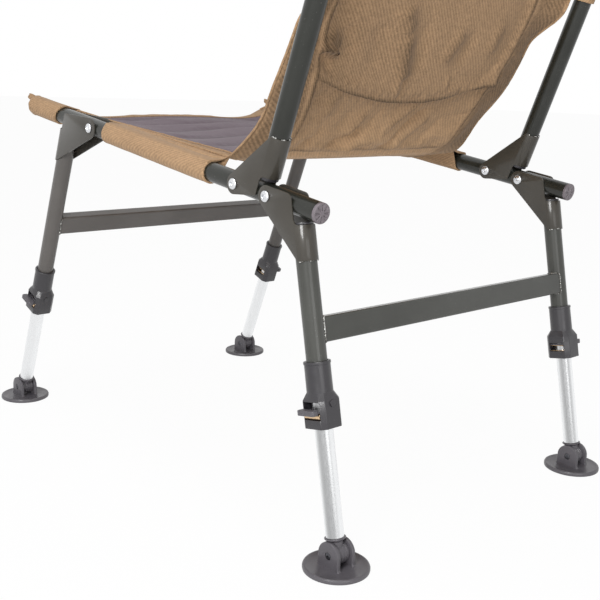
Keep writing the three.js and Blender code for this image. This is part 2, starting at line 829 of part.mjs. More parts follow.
function addBackrest() {
  const tilt = backrestLean - railSlope;
  const backrest = frameAt(seat, [0, backrestPivotSetback, 0], -tilt);
  const bracket = hingeBracket({
    offset: backrestOffset,
    tilt,
    ear: backEarRadius,
    shoulder: backShoulderRadius,
    rise: backShoulderRise,
    wrapStart: backrestTubeStart,
    wrapLength: backWrapLength,
  });
  for (const [side, sign] of sides) {
    const x = (sign * railSpacing) / 2;
    const tube = solidOf(pipe(tubeRadius, tubeWall, backrestTubeStart, backrestTubeTop));
    const foot = [x, backrestOffset, backrestTubeStart];
    place(backrest, `backrest_bracket_${side}`, bracket, paintedSteel, [x, 0, 0]);
    place(backrest, `backrest_tube_${side}`, tube, paintedSteel, [x, backrestOffset, 0]);
    place(backrest, `backrest_tube_plug_${side}`, endPlug(), blackPlastic, foot, [Math.PI, 0, 0]);
  }
  place(backrest, "backrest_hoop_top", solidOf(hoopTop(tubeRadius, tubeWall)), paintedSteel);
  place(backrest, "back_pad", backPad(), tanFabric);
  place(backrest, "lower_back_pad", waistPad(), tanFabric);
}

// One frame of two legs. Local Z runs up the tubes; towards is the side of the pivots that the tubes lie on.
function addLegFrame(sizes) {
  const { end, setback, lean, offset, towards, collarDrop, crossbarDrop, bracketSizes, plugged } = sizes;
  const tilt = lean + towards * railSlope;
  const legs = frameAt(seat, [0, setback, 0], towards * tilt);
  const pivotHeight = frontPivotHeight - setback * Math.sin(railSlope);
  const footDrop = (pivotHeight - footPinHeight + offset * Math.sin(lean)) / Math.cos(lean);
  const bracket = hingeBracket({ offset, tilt, wrapStart: legTubeTopDrop, ...bracketSizes });
  const tube = solidOf(pipe(tubeRadius, tubeWall, -collarDrop - collarSeat + fitGap, -legTubeTopDrop));
  const lipLevel = -footDrop + lipDrop + fitGap;
  const extension = solidOf(pipe(extensionRadius, extensionWall, lipLevel, -collarDrop + extensionInsert));
  const flip = towards > 0 ? [0, Math.PI, 0] : [Math.PI, 0, 0];
  for (const [side, sign] of sides) {
    const [x, y] = [(sign * railSpacing) / 2, towards * offset];
    const turn = [0, 0, sign > 0 ? 0 : Math.PI];
    const name = `${end}_${side}`;
    place(legs, `${end}_leg_bracket_${side}`, bracket, paintedSteel, [x, 0, 0], flip);
    place(legs, `${end}_leg_tube_${side}`, tube, paintedSteel, [x, y, 0]);
    if (plugged) {
      const plug = endPlug(legPlugThickness);
      place(legs, `${end}_leg_top_plug_${side}`, plug, blackPlastic, [x, y, -legTubeTopDrop]);
    }
    place(legs, `${name}_adjuster`, adjusterHousing(), blackPlastic, [x, y, -collarDrop], turn);
    place(legs, `${name}_lock_spring`, leafSpring(), springBrass, [x, y, -collarDrop], turn);
    place(legs, `${name}_lock_lever`, lockLever(), greyPlastic, [x, y, leverLevel - collarDrop], turn);
    place(legs, `${name}_extension_tube`, extension, brightAluminium, [x, y, 0]);
    place(legs, `${name}_foot_knuckle`, footKnuckle(), greyPlastic, [x, y, -footDrop]);
    const foot = frameAt(legs, [x, y, -footDrop], -towards * lean);
    place(foot, `${name}_foot_pad`, footPad(), greyPlastic);
    place(foot, `${name}_foot_pin`, footPin(), zincSteel);
  }
  place(legs, `${end}_crossbar`, crossbar(), paintedSteel, [0, towards * offset, -crossbarDrop]);
}

addSeat();
addBackrest();
addLegFrame({
  end: "front",
  setback: 0,
  lean: frontLegLean,
  offset: frontLegOffset,
  towards: -1,
  collarDrop: frontCollarDrop,
  crossbarDrop: frontCrossbarDrop,
  bracketSizes: {
    ear: frontEarRadius,
    shoulder: frontShoulderRadius,
    rise: frontShoulderRise,
    wrapLength: frontWrapLength,
  },
  plugged: false,
});
addLegFrame({
  end: "rear",
  setback: rearLegPivotSetback,
  lean: rearLegLean,
  offset: rearLegOffset,
  towards: 1,
  collarDrop: rearCollarDrop,
  crossbarDrop: rearCrossbarDrop,
  bracketSizes: {
    ear: rearEarRadius,
    shoulder: rearShoulderRadius,
    rise: rearShoulderRise,
    wrapLength: rearWrapLength,
  },
  plugged: true,
});

// The origin goes to the middle of the footprint, on the ground
const extent = new THREE.Box3().setFromObject(chair, true);
chair.position.set(0, -(extent.min.y + extent.max.y) / 2, -extent.min.z);

export default chair;
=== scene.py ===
import json
import math
from collections import namedtuple
from functools import cache

import bmesh
import bpy
import numpy as np
from bpy.props import FloatProperty, FloatVectorProperty, PointerProperty
from mathutils import Matrix, Vector
from mathutils.geometry import tessellate_polygon

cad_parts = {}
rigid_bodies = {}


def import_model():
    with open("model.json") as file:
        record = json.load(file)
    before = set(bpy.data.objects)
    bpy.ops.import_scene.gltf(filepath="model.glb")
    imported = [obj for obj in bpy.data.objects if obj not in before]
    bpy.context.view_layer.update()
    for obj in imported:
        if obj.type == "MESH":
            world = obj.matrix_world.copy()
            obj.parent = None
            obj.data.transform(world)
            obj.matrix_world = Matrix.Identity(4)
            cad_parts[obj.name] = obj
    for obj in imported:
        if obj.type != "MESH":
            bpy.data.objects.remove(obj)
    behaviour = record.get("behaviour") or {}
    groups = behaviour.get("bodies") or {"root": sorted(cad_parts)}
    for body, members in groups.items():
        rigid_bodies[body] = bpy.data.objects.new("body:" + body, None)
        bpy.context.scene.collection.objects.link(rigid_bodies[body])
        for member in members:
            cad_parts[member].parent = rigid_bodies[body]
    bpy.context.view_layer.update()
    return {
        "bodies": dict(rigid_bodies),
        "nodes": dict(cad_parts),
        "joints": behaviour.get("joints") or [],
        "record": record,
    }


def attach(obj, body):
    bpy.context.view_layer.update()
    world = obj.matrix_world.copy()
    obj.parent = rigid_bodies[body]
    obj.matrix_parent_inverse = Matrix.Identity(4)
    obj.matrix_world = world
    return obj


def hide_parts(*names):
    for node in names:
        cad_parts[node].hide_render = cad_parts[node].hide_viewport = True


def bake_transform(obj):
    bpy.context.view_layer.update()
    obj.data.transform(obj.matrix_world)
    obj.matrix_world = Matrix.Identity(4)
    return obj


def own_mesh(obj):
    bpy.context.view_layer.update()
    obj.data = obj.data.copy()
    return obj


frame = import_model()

bl_info = {
    "name": "Carp Fishing Chair",
    "version": (1, 0, 0),
    "blender": (4, 5, 0),
    "location": "View3D > Sidebar > Chair",
    "description": "Dresses a folding fishing chair: tube frame, adjustable legs, padded seat and back",
    "category": "Object",
}

# Joints of the frame, and which way each side of the chair lies from its middle
JOINTS = {joint["name"]: joint for joint in frame["joints"]}
SIDES = (("left", 1), ("right", -1))
ENDS = (("front", -1), ("rear", 1))


def length(name, default, description):
    return FloatProperty(name=name, description=description, default=default, unit="LENGTH", precision=4)


def angle(name, degrees, description):
    return FloatProperty(name=name, description=description, default=math.radians(degrees), unit="ROTATION")


def share(name, default, description):
    return FloatProperty(name=name, description=description, default=default, min=0.0, max=1.0)


def colour(name, default, description):
    return FloatVectorProperty(name=name, description=description, default=default, subtype="COLOR",
                               min=0.0, max=1.0)


class ChairTubing(bpy.types.PropertyGroup):
    """Sizes of the folding frame"""

    radius: length("Tube radius", 0.0125, "Outer radius of the rails, legs and backrest hoop")
    wall: length("Tube wall", 0.0012, "Wall of the frame tubes")
    spacing: length("Rail spacing", 0.5, "Distance between the middles of the two side rails")
    rail_length: length("Rail length", 0.675, "Length of a side rail")
    rail_overhang: length("Front overhang", 0.19, "Rail in front of the front leg pivot")
    rail_slope: angle("Rail slope", 8.18, "How far the rails drop towards the rear")
    backrest_setback: length("Backrest pivot", 0.3447,
                             "Backrest pivot behind the front leg pivot, along the rail")
    rear_setback: length("Rear leg pivot", 0.4064,
                         "Rear leg pivot behind the front leg pivot, along the rail")
    backrest_lean: angle("Backrest lean", 20.0, "Lean of the backrest from the upright")
    backrest_offset: length("Backrest offset", 0.0426, "Backrest tube behind its pivot")
    backrest_start: length("Backrest start", 0.031, "Foot of the backrest tube above its pivot")
    backrest_top: length("Backrest straight", 0.59, "Top of the straight part of the backrest tube")
    bow_radius: length("Bow bend", 0.07, "Bend radius of the hoop's corners")
    bow_rise: length("Bow rise", 0.095, "Hoop's top above the straight part")
    front_lean: angle("Front leg lean", 21.4, "Lean of the front legs from the upright")
    front_offset: length("Front leg offset", 0.0744, "Front leg tube beside its pivot")
    front_collar: length("Front collar drop", 0.286, "Front adjuster's top below the pivot, along the leg")
    front_bar: length("Front crossbar drop", 0.201, "Front crossbar below the pivot, along the leg")
    rear_lean: angle("Rear leg lean", 11.6, "Lean of the rear legs from the upright")
    rear_offset: length("Rear leg offset", 0.044, "Rear leg tube beside its pivot")
    rear_collar: length("Rear collar drop", 0.195, "Rear adjuster's top below the pivot, along the leg")
    rear_bar: length("Rear crossbar drop", 0.16, "Rear crossbar below the pivot, along the leg")
    leg_top: length("Leg top drop", 0.038, "Top of the leg tubes below the pivot, along the leg")
    bar_height: length("Crossbar height", 0.03, "Height of the rectangular crossbars")
    bar_depth: length("Crossbar depth", 0.02, "Depth of the rectangular crossbars")
    bar_corner: length("Crossbar corner", 0.003, "Corner radius of the crossbars")
    sheet: length("Bracket sheet", 0.0015, "Thickness of the stamped brackets")
    gap: length("Clearance", 0.0003, "Clearance between pieces that fit together")


class ChairLegFittings(bpy.types.PropertyGroup):
    """Sizes of the adjusters, extension tubes and mud feet"""

    collar_radius: length("Collar radius", 0.0157, "Outer radius of the adjuster's collar")
    collar_length: length("Collar length", 0.036, "Length of the adjuster's collar")
    collar_seat: length("Collar seat", 0.032, "How far the leg tube runs into the collar")
    box_width: length("Box width", 0.034, "Adjuster box across the chair")
    box_depth: length("Box depth", 0.038, "Adjuster box along the chair")
    box_height: length("Box height", 0.033, "Height of the adjuster box")
    box_corner: length("Box corner", 0.006, "Chamfer of the adjuster box's upright edges")
    shoulder: length("Shoulder height", 0.0085, "Sloping shoulders between box and collar")
    window_drop: length("Window top", 0.0015, "Window's top below the box's top")
    window_height: length("Window height", 0.021, "Height of the outer window")
    inner_window: length("Inner window height", 0.0125, "Height of the inner window")
    cavity_width: length("Cavity width", 0.026, "Hollow of the adjuster across the chair")
    cavity_depth: length("Cavity depth", 0.0286, "Hollow of the adjuster along the chair")
    lever_drop: length("Lever level", 0.011, "Lever plate below the hollow's top")
    lever_plate: length("Lever plate", 0.0022, "Thickness of the lever's plate")
    tab_depth: length("Thumb tab width", 0.028, "Thumb tab along the chair")
    tab_reach: length("Thumb tab reach", 0.01, "How far the thumb tab stands out")
    tab_height: length("Thumb tab height", 0.0064, "Height of the thumb tab")
    leaf: length("Leaf thickness", 0.0008, "Thickness of the brass leaf spring")
    extension_radius: length("Extension radius", 0.011, "Outer radius of the extension tube")
    extension_insert: length("Extension insert", 0.042, "Extension tube above the collar's top")
    foot_radius: length("Foot radius", 0.0403, "Radius of the mud foot's disc")
    foot_thickness: length("Foot thickness", 0.006, "Thickness of the mud foot's disc")
    pin_rise: length("Pin rise", 0.014, "Swivel pin above the disc")
    cheek_radius: length("Cheek radius", 0.0168, "Round top of the foot's cheeks")
    cheek: length("Cheek thickness", 0.0052, "Thickness of a foot's cheek")
    knuckle_width: length("Knuckle width", 0.0182, "Knuckle between the cheeks")
    knuckle_radius: length("Knuckle radius", 0.0129, "Radius of the knuckle's barrel")
    lip_drop: length("Lip height", 0.0195, "Knuckle's socket lip above the pin")
    lip_radius: length("Lip radius", 0.013, "Radius of the knuckle's socket lip")


class ChairPadding(bpy.types.PropertyGroup):
    """Sizes of the padded seat and back"""

    half_width: length("Half width", 0.231, "Half of the seat padding's width")
    back_half_width: length("Back half width", 0.229, "Half of the back padding's width")
    panel_half_width: length("Panel half width", 0.215, "Half of the dark face panel's width")
    rear_half_width: length("Rear half width", 0.178, "Half of the rear panel's width between its seams")
    thickness: length("Seat thickness", 0.027, "Thickness of the seat padding")
    back_thickness: length("Back thickness", 0.036, "Thickness of the back padding")
    crease_setback: length("Crease setback", 0.0617,
                           "Crease between seat and back in front of the backrest pivot")
    front_level: length("Front level", 0.006, "Seat padding above the rails at the front")
    rear_level: length("Rear level", 0.017, "Seat padding above the rails at the crease")
    front_sag: length("Front sag", 0.038, "How far the seat hangs between the rails at the front")
    rear_sag: length("Rear sag", 0.003, "How far the seat hangs between the rails at the crease")
    seat_basin: FloatProperty(name="Seat basin", description="Flatness of the hanging seat across",
                              default=6.0)
    back_basin: FloatProperty(name="Back bow", description="Flatness of the bowed back across", default=2.0)
    crown: length("Crown", 0.004, "How far the filling rises on the face")
    back_hollow: length("Back bow depth", 0.022, "How far the back bows towards the sitter")
    back_setforward: length("Back setting", 0.026, "Back padding's middle in front of the backrest tubes")
    back_start: length("Back start", 0.268, "Foot of the straight back padding above the backrest pivot")
    channel_pitch: length("Channel pitch", 0.084, "Distance between the sewn channels")
    channel_depth: length("Channel depth", 0.0075, "Depth of the sewn channels")
    seam_base: length("Seam row", 0.605, "Mean place of the rear panel's sagging seam along the padding")
    seam_low: length("Seam low point", 0.594, "Lowest place of the sagging seam along the padding")
    seam_rise: length("Seam rise", 0.034, "How far the sagging seam's ends lie above its lowest place")
    rear_swell: length("Rear swell", 0.013, "How far the rear panel swells over the sagging seam")
    hem_rise: length("Hem rise", 0.032, "Rear panel's hem above the crease")
    hem_ledge: length("Hem ledge", 0.003, "How far the rear panel stands out over the band under its hem")
    crease_lift: length("Crease lift", 0.005, "How far the underside is drawn in at the crease")
    gusset_back: length("Gusset depth", 0.032, "How far the sides of the back are drawn back to the hoop")
    gusset_out: length("Gusset width", 0.007, "How far the sides of the back are drawn out to the hoop")
    waist: length("Waist", 0.011, "How far the sides of the padding are drawn in where it bends up")
    seat_edge: share("Seat edge", 0.06, "Height of the seat's face edge as a share of the thickness")
    back_edge: share("Back edge", 0.42, "Height of the back's face edge as a share of the thickness")
    cell: length("Mesh cell", 0.007, "Size of the fabric's mesh cells before the cloth settles")
    swell: length("Swell limit", 0.011, "How far the fabric may rise from its pattern")
    growth: share("Fabric growth", 0.035, "Spare fabric that puckers between the seams")
    pressure: FloatProperty(name="Filling pressure", description="Pressure of the filling on the cloth",
                            default=4.0)
    sleeve_end: length("Front sleeve end", -0.103, "Rear end of the front sleeves, from the front leg pivot")
    sleeve_start: length("Rear sleeve start", 0.036,
                         "Front end of the rear sleeves, from the front leg pivot")
    piping: length("Piping radius", 0.0016, "Radius of the piping on the seams")
    stitch: length("Stitch length", 0.0042, "Length of a stitch")


class ChairFinishes(bpy.types.PropertyGroup):
    """Colours of the chair"""

    paint: colour("Painted steel", (0.0150, 0.0160, 0.0125), "Satin olive grey of the frame tubes")
    # The front and rear legs are the tubes' same olive grey paint, made lighter as painted light for the
    # lamps and white surroundings they catch
    front_legs: colour("Painted front legs", (0.098, 0.090, 0.084), "Satin warm grey of the front leg frame")
    rear_legs: colour("Painted rear legs", (0.050, 0.051, 0.045), "Satin olive grey of the rear leg frame")
    plug: colour("Rail plugs", (0.150, 0.128, 0.142), "Spoked plugs in the rails' rear ends")
    # The brackets are the same paint made lighter as painted reflection of the lamps and white surroundings
    # on their flat faces
    plates: colour("Painted brackets", (0.046, 0.041, 0.033), "Warm grey of the folded brackets")
    aluminium: colour("Aluminium", (0.90, 0.91, 0.92), "Extension tubes")
    zinc: colour("Zinc", (0.74, 0.75, 0.77), "Bolts and pins")
    brass: colour("Brass", (0.80, 0.58, 0.36), "Leaf springs")
    burnished: colour("Burnished steel", (0.10, 0.10, 0.11), "Swivel pins of the feet")
    black: colour("Black plastic", (0.024, 0.022, 0.026), "Adjusters and plugs")
    grey: colour("Grey plastic", (0.080, 0.074, 0.084), "Feet and levers")
    tan: colour("Tan fabric", (0.385, 0.246, 0.139), "Twill of the padding and sleeves")
    dark: colour("Dark fabric", (0.165, 0.128, 0.148), "Quilted panel of the seat and back")
    floor: colour("Floor", (0.93, 0.93, 0.93), "Studio floor")


# Shader trees

class Wire:
    """An output of a node tree. Sums with numbers or other wires add Math nodes."""

    def __init__(self, tree, socket):
        self.tree, self.socket = tree, socket

    def math(self, operation, *values):
        return self.tree.node("ShaderNodeMath", {"operation": operation}, dict(enumerate((self, *values))))

    def __add__(self, other):
        return self.math("ADD", other)

    def __sub__(self, other):
        return self.math("SUBTRACT", other)

    def __mul__(self, other):
        return self.math("MULTIPLY", other)

    def __rsub__(self, other):
        return self.tree.node("ShaderNodeMath", {"operation": "SUBTRACT"}, {0: other, 1: self})

    __radd__ = __add__
    __rmul__ = __mul__

    def sine(self):
        return self.math("SINE")


def in_use(sockets, name=None):
    """The socket in use with a name, or else the first in use."""
    return next(socket for socket in sockets if socket.enabled and name in (None, socket.name))


class Tree:
    """A node tree. A node is made from its type, its settings and its inputs, each a value or a wire."""

    def __init__(self, tree):
        self.tree = tree

    def feed(self, socket, value):
        if isinstance(value, Wire):
            self.tree.links.new(value.socket, socket)
        elif socket.type == "RGBA" and len(value) == 3:
            socket.default_value = (*value, 1.0)
        else:
            socket.default_value = value

    def node(self, kind, settings=None, inputs=None, output=None):
        node = self.tree.nodes.new(kind)
        for key, value in (settings or {}).items():
            setattr(node, key, value)
        for key, value in (inputs or {}).items():
            self.feed(node.inputs[key] if isinstance(key, int) else in_use(node.inputs, key), value)
        return Wire(self, in_use(node.outputs, output))

    def seen(self):
        """1 on rays from the camera and from reflections, 0 on the light itself."""
        camera, glossy, through = (self.node("ShaderNodeLightPath", output=f"Is {kind} Ray")
                                   for kind in ("Camera", "Glossy", "Transmission"))
        return camera.math("MAXIMUM", glossy).math("MAXIMUM", through)


class Finish(Tree):
    """A procedural material with one Principled shader"""

    def __init__(self, name, roughness=0.5, **constants):
        self.material = bpy.data.materials.new(name)
        self.material.use_nodes = True
        super().__init__(self.material.node_tree)
        self.tree.nodes.clear()
        self.surface = self.tree.nodes.new("ShaderNodeOutputMaterial").inputs["Surface"]
        self.shader = self.tree.nodes.new("ShaderNodeBsdfPrincipled")
        self.feed(self.surface, Wire(self, self.shader.outputs["BSDF"]))
        self.set(Roughness=roughness, **constants)

    def set(self, **values):
        for key, value in values.items():
            self.feed(self.shader.inputs[key.replace("_", " ")], value)
        return self.material

    def place(self):
        return self.node("ShaderNodeTexCoord", output="Object")

    def turned(self, rotation, scale):
        return self.node("ShaderNodeMapping", {},
                         {"Vector": self.place(), "Rotation": rotation, "Scale": scale})

    def noise(self, vector, scale, detail=3.0, roughness=0.5):
        return self.node("ShaderNodeTexNoise", {}, {
            "Vector": vector, "Scale": scale, "Detail": detail, "Roughness": roughness, "Distortion": 0.0})

    def spread(self, value, low, high, to_low=0.0, to_high=1.0):
        return self.node("ShaderNodeMapRange", {"interpolation_type": "SMOOTHSTEP"}, {
            "Value": value, "From Min": low, "From Max": high, "To Min": to_low, "To Max": to_high})

    def mix(self, factor, first, second):
        return self.node("ShaderNodeMix", {"data_type": "RGBA"}, {"Factor": factor, "A": first, "B": second})

    def tint(self, base, amount):
        """Base colour made lighter or darker by a factor around 1."""
        return self.mix(amount * 0.5, (0.0, 0.0, 0.0), tuple(2.0 * part for part in base))

    def bump(self, height, distance, strength):
        return self.node("ShaderNodeBump", {}, {"Height": height, "Distance": distance, "Strength": strength})

    def parts(self, vector):
        """X and Y of a vector."""
        return [self.node("ShaderNodeSeparateXYZ", {}, {0: vector}, axis) for axis in "XY"]

    def painted_reflection(self, lean, spacing, level, radius):
        """A painted dark reflection: a soft line along the leaning tubes at both sides of the chair, on the
        side that faces one way.
        """
        across, back = self.parts(self.turned((-lean, 0.0, 0.0), (1.0, 1.0, 1.0)))
        out = (across + spacing / 2).math("WRAP", spacing / 2, -spacing / 2)
        facing = out * REFLECTION_FACING[0] + (back - level) * REFLECTION_FACING[1]
        return self.spread(facing, 0.55 * radius, radius)

    def flat_axes(self):
        """The two lengths of the piece's own cloth map, in metres."""
        return self.parts(self.node("ShaderNodeUVMap", {"uv_map": "cloth"}))

    def crease(self):
        """Painted shade of the cloth as worked out with its seams and folds: darker in seam creases, fold
        hollows and on the strips, lighter on the hem.
        """
        return self.node("ShaderNodeAttribute", {"attribute_name": "crease"}, output="Fac")


def painted_steel(name, base):
    """Powder coat: satin under a thin gloss, with a fine orange peel, dust and rubbed spots."""
    finish = Finish(name, 0.45, Coat_Roughness=0.16, Specular_IOR_Level=0.2)
    place = finish.place()
    peel = finish.noise(place, 900.0, 2.0)
    cloud = finish.noise(place, 14.0, 4.0, 0.6)
    rubbed = finish.spread(finish.noise(place, 420.0, 1.0), 0.70, 0.76) * finish.spread(cloud, 0.45, 0.6)
    return finish.set(
        Base_Color=finish.mix(rubbed * 0.5, finish.tint(base, 0.80 + cloud * 0.40), (0.13, 0.13, 0.12)),
        Roughness=finish.spread(cloud, 0.3, 0.7, 0.38, 0.5),
        Coat_Weight=finish.spread(cloud, 0.2, 0.8, 0.45, 0.75),
        Normal=finish.bump(peel, 0.00012, 0.3),
    )


# Distance between the twill's ribs and between the finest threads
RIB_PITCH = 0.00704
THREAD_PITCH = 0.0013

# Way that the painted dark reflection on a drawn tube faces: to the chair's left and to its rear
REFLECTION_FACING = (0.84, 0.54)


def drawn_aluminium(name, base, end, towards, reflection_depth):
    """Bright drawn tube: fine lines along it, a soft stripe of painted dark reflection and light handling
    marks.
    """
    tubing = bpy.context.scene.chair_tubing
    lean = towards * getattr(tubing, f"{end}_lean")
    finish = Finish(name, 0.3, Metallic=1.0)
    lines = finish.noise(finish.turned((-lean, 0.0, 0.0), (1500.0, 1500.0, 9.0)), 1.0, 3.0, 0.6)
    bands = finish.noise(finish.turned((-lean, 0.0, 0.0), (160.0, 160.0, 2.0)), 1.0, 2.0)
    marks = finish.noise(finish.place(), 60.0, 4.0, 0.65)
    painted_reflection = finish.painted_reflection(lean, tubing.spacing, tube_level(end, towards), 0.011) * reflection_depth
    return finish.set(
        # the colour is darkened along the stripe as a painted dark reflection
        Base_Color=finish.tint(base, 0.90 + lines * 0.12 + bands * 0.06 - painted_reflection),
        Roughness=finish.spread(lines, 0.3, 0.7, 0.24, 0.38) + finish.spread(marks, 0.55, 0.75, 0.0, 0.10),
        Normal=finish.bump(lines, 0.00004, 0.4),
    )


def plated_steel(name, base):
    """Plated bolts and pins, with a faint crystal pattern."""
    finish = Finish(name, 0.3, Metallic=1.0)
    crystals = finish.node("ShaderNodeTexVoronoi", {}, {"Vector": finish.place(), "Scale": 900.0}, "Distance")
    film = finish.noise(finish.place(), 260.0, 3.0)
    return finish.set(
        Base_Color=finish.tint(base, 0.82 + crystals * 0.2 + film * 0.16),
        Roughness=finish.spread(film, 0.3, 0.7, 0.2, 0.42),
        Normal=finish.bump(film, 0.00006, 0.3),
    )


def spring_brass(base):
    finish = Finish("spring_brass", 0.28, Metallic=1.0)
    film = finish.noise(finish.place(), 300.0, 4.0, 0.6)
    return finish.set(Base_Color=finish.tint(base, 0.72 + film * 0.5),
                      Roughness=finish.spread(film, 0.3, 0.7, 0.2, 0.4))


def moulded_plastic(name, base, roughness, grain):
    """Moulded nylon: fine spark-eroded grain, scuffed lighter here and there."""
    finish = Finish(name, roughness, Specular_IOR_Level=0.5, Coat_Weight=0.35, Coat_Roughness=0.22)
    place = finish.place()
    fine = finish.noise(place, 2200.0, 2.0)
    cloud = finish.noise(place, 45.0, 4.0, 0.6)
    scuff = finish.spread(finish.noise(place, 320.0, 3.0, 0.7), 0.60, 0.72) * finish.spread(cloud, 0.42, 0.6)
    pale = tuple(min(1.0, 2.1 * part + 0.01) for part in base)
    return finish.set(
        Base_Color=finish.mix(scuff * 0.45, finish.tint(base, 0.84 + cloud * 0.32), pale),
        Roughness=finish.spread(cloud, 0.3, 0.7, roughness - 0.1, roughness + 0.08),
        Normal=finish.bump(fine, grain, 0.5),
    )


def tan_twill(base):
    """Twill: slanting ribs of thread over the cloth map, with slubs and faded patches, darkened by painted
    shade from crease().
    """
    finish = Finish("tan_twill", 0.82, Sheen_Weight=0.08, Sheen_Roughness=0.5, Specular_IOR_Level=0.2)
    across, along = finish.flat_axes()
    rib = ((along - across * 1.25) * (2 * math.pi / RIB_PITCH)).sine()
    thread = ((along + across * 0.8) * (2 * math.pi / (1.28 * THREAD_PITCH))).sine()
    place = finish.place()
    slub = finish.noise(place, 420.0, 3.0, 0.6)
    cloud = finish.noise(place, 9.0, 4.0, 0.6)
    blotch = finish.noise(place, 190.0, 2.0, 0.5)
    amount = 0.74 + rib * 0.12 + finish.spread(slub, 0.36, 0.64) * 0.18
    amount = amount + finish.spread(blotch, 0.36, 0.64) * 0.12
    return finish.set(
        # crease() is painted shade in seams, fold hollows and strips, and painted light on the hem
        Base_Color=finish.tint(base, amount + cloud * 0.20 - finish.crease() * 0.52),
        Roughness=finish.spread(slub, 0.3, 0.7, 0.76, 0.9),
        Normal=finish.bump(rib * 0.40 + thread * 0.16 + slub * 0.5, 0.00035, 0.55),
    )


def dark_panel(base):
    """Brushed quilted fabric of the face: plain fine weave with a soft nap, darkened by painted shade from
    crease().
    """
    finish = Finish("dark_panel", 0.9, Sheen_Weight=0.15, Sheen_Roughness=0.4, Specular_IOR_Level=0.15)
    weave = [(axis * (2 * math.pi / THREAD_PITCH)).sine() * 0.3 for axis in finish.flat_axes()]
    place = finish.place()
    nap = finish.noise(place, 700.0, 3.0, 0.7)
    cloud = finish.noise(place, 12.0, 4.0, 0.6)
    return finish.set(
        # crease() is painted shade in the creases of the sewn channels and panel seams
        Base_Color=finish.tint(base, 0.80 + nap * 0.22 + cloud * 0.2 - finish.crease() * 0.52),
        Roughness=finish.spread(nap, 0.3, 0.7, 0.84, 0.96),
        Normal=finish.bump(weave[0] + weave[1] + nap * 0.4, 0.0003, 0.5),
    )


def weld_bead(base):
    """Bead of weld under the paint, with the crests rubbed bright."""
    finish = Finish("weld_bead", 0.32)
    ripple = finish.noise(finish.place(), 700.0, 3.0)
    bright = finish.spread(ripple, 0.50, 0.60)
    return finish.set(Base_Color=finish.mix(bright, base, (0.62, 0.62, 0.60)), Metallic=bright,
                      Roughness=finish.spread(ripple, 0.3, 0.7, 0.24, 0.4))


@cache
def finishes():
    """The chair's materials, built once from the colours of the panel."""
    colours = bpy.context.scene.chair_finishes
    return {
        "paint": painted_steel("painted_steel", colours.paint),
        # leg and bracket paints are lighter copies of the tubes' paint, as painted light and reflection, not
        # a different paint
        "front_legs": painted_steel("painted_front_legs", colours.front_legs),
        "rear_legs": painted_steel("painted_rear_legs", colours.rear_legs),
        "plates": painted_steel("painted_brackets", colours.plates),
        "weld": weld_bead(colours.plates),
        # the two aluminium finishes differ only in how deep their painted dark reflection is
        "front_aluminium": drawn_aluminium("front_aluminium", colours.aluminium, "front", -1, 0.06),
        "rear_aluminium": drawn_aluminium("rear_aluminium", colours.aluminium, "rear", 1, 0.50),
        "zinc": plated_steel("zinc_steel", colours.zinc),
        "burnished": plated_steel("burnished_steel", colours.burnished),
        "brass": spring_brass(colours.brass),
        "black": moulded_plastic("black_plastic", colours.black, 0.42, 0.00005),
        "plug": moulded_plastic("plug_plastic", colours.plug, 0.42, 0.00009),
        "grey": moulded_plastic("grey_plastic", colours.grey, 0.55, 0.00009),
        "tan": tan_twill(colours.tan),
        "dark": dark_panel(colours.dark),
    }


# Places of the bodies

def frame_at(origin, lean):
    """Local frame of a body that leans from the upright about X."""
    return Matrix.Translation(origin) @ Matrix.Rotation(lean, 4, "X")


def body_frames():
    sizes = bpy.context.scene.chair_tubing
    return {
        "seat_frame": frame_at(JOINTS["front_legs_fold"]["pos_m"], -sizes.rail_slope),
        "backrest": frame_at(JOINTS["backrest_fold"]["pos_m"], -sizes.backrest_lean),
        "front_legs": frame_at(JOINTS["front_legs_fold"]["pos_m"], -sizes.front_lean),
        "rear_legs": frame_at(JOINTS["rear_legs_fold"]["pos_m"], sizes.rear_lean),
    }


def tube_level(end, towards):
    """Place of the leg tubes' middle across their own lean, seen from the side."""
    sizes = bpy.context.scene.chair_tubing
    spot = body_frames()[f"{end}_legs"] @ Vector((0, towards * getattr(sizes, f"{end}_offset"), 0))
    return (Matrix.Rotation(-towards * getattr(sizes, f"{end}_lean"), 4, "X") @ spot).y


# Mesh work

def arc(centre, radius, start, end, steps):
    """Points of an arc in a plane, both ends included."""
    angles = np.linspace(start, end, steps + 1)
    return [(centre[0] + radius * math.cos(a), centre[1] + radius * math.sin(a)) for a in angles]


def softened(points, radius, steps=3, closed=False):
    """A polyline with each corner rounded off."""
    count = len(points)
    out = []
    for i, point in enumerate(points):
        if not closed and i in (0, count - 1):
            out.append(point)
            continue
        here = np.array(point, float)
        back = np.array(points[i - 1], float) - here
        ahead = np.array(points[(i + 1) % count], float) - here
        near, far = np.linalg.norm(back), np.linalg.norm(ahead)
        cosine = float(np.clip(back @ ahead / (near * far), -1.0, 1.0))
        half = math.acos(cosine) / 2
        reach = min(radius / max(math.tan(half), 1e-6), 0.45 * near, 0.45 * far)
        if reach < 1e-6 or math.pi / 2 - half < 0.03:
            out.append(point)
            continue
        start, end = here + back / near * reach, here + ahead / far * reach
        for t in np.linspace(0.0, 1.0, steps + 1):
            out.append(tuple((1 - t) ** 2 * start + 2 * t * (1 - t) * here + t * t * end))
    return out


def full_turn(count):
    return np.linspace(0, 2 * math.pi, count, endpoint=False)


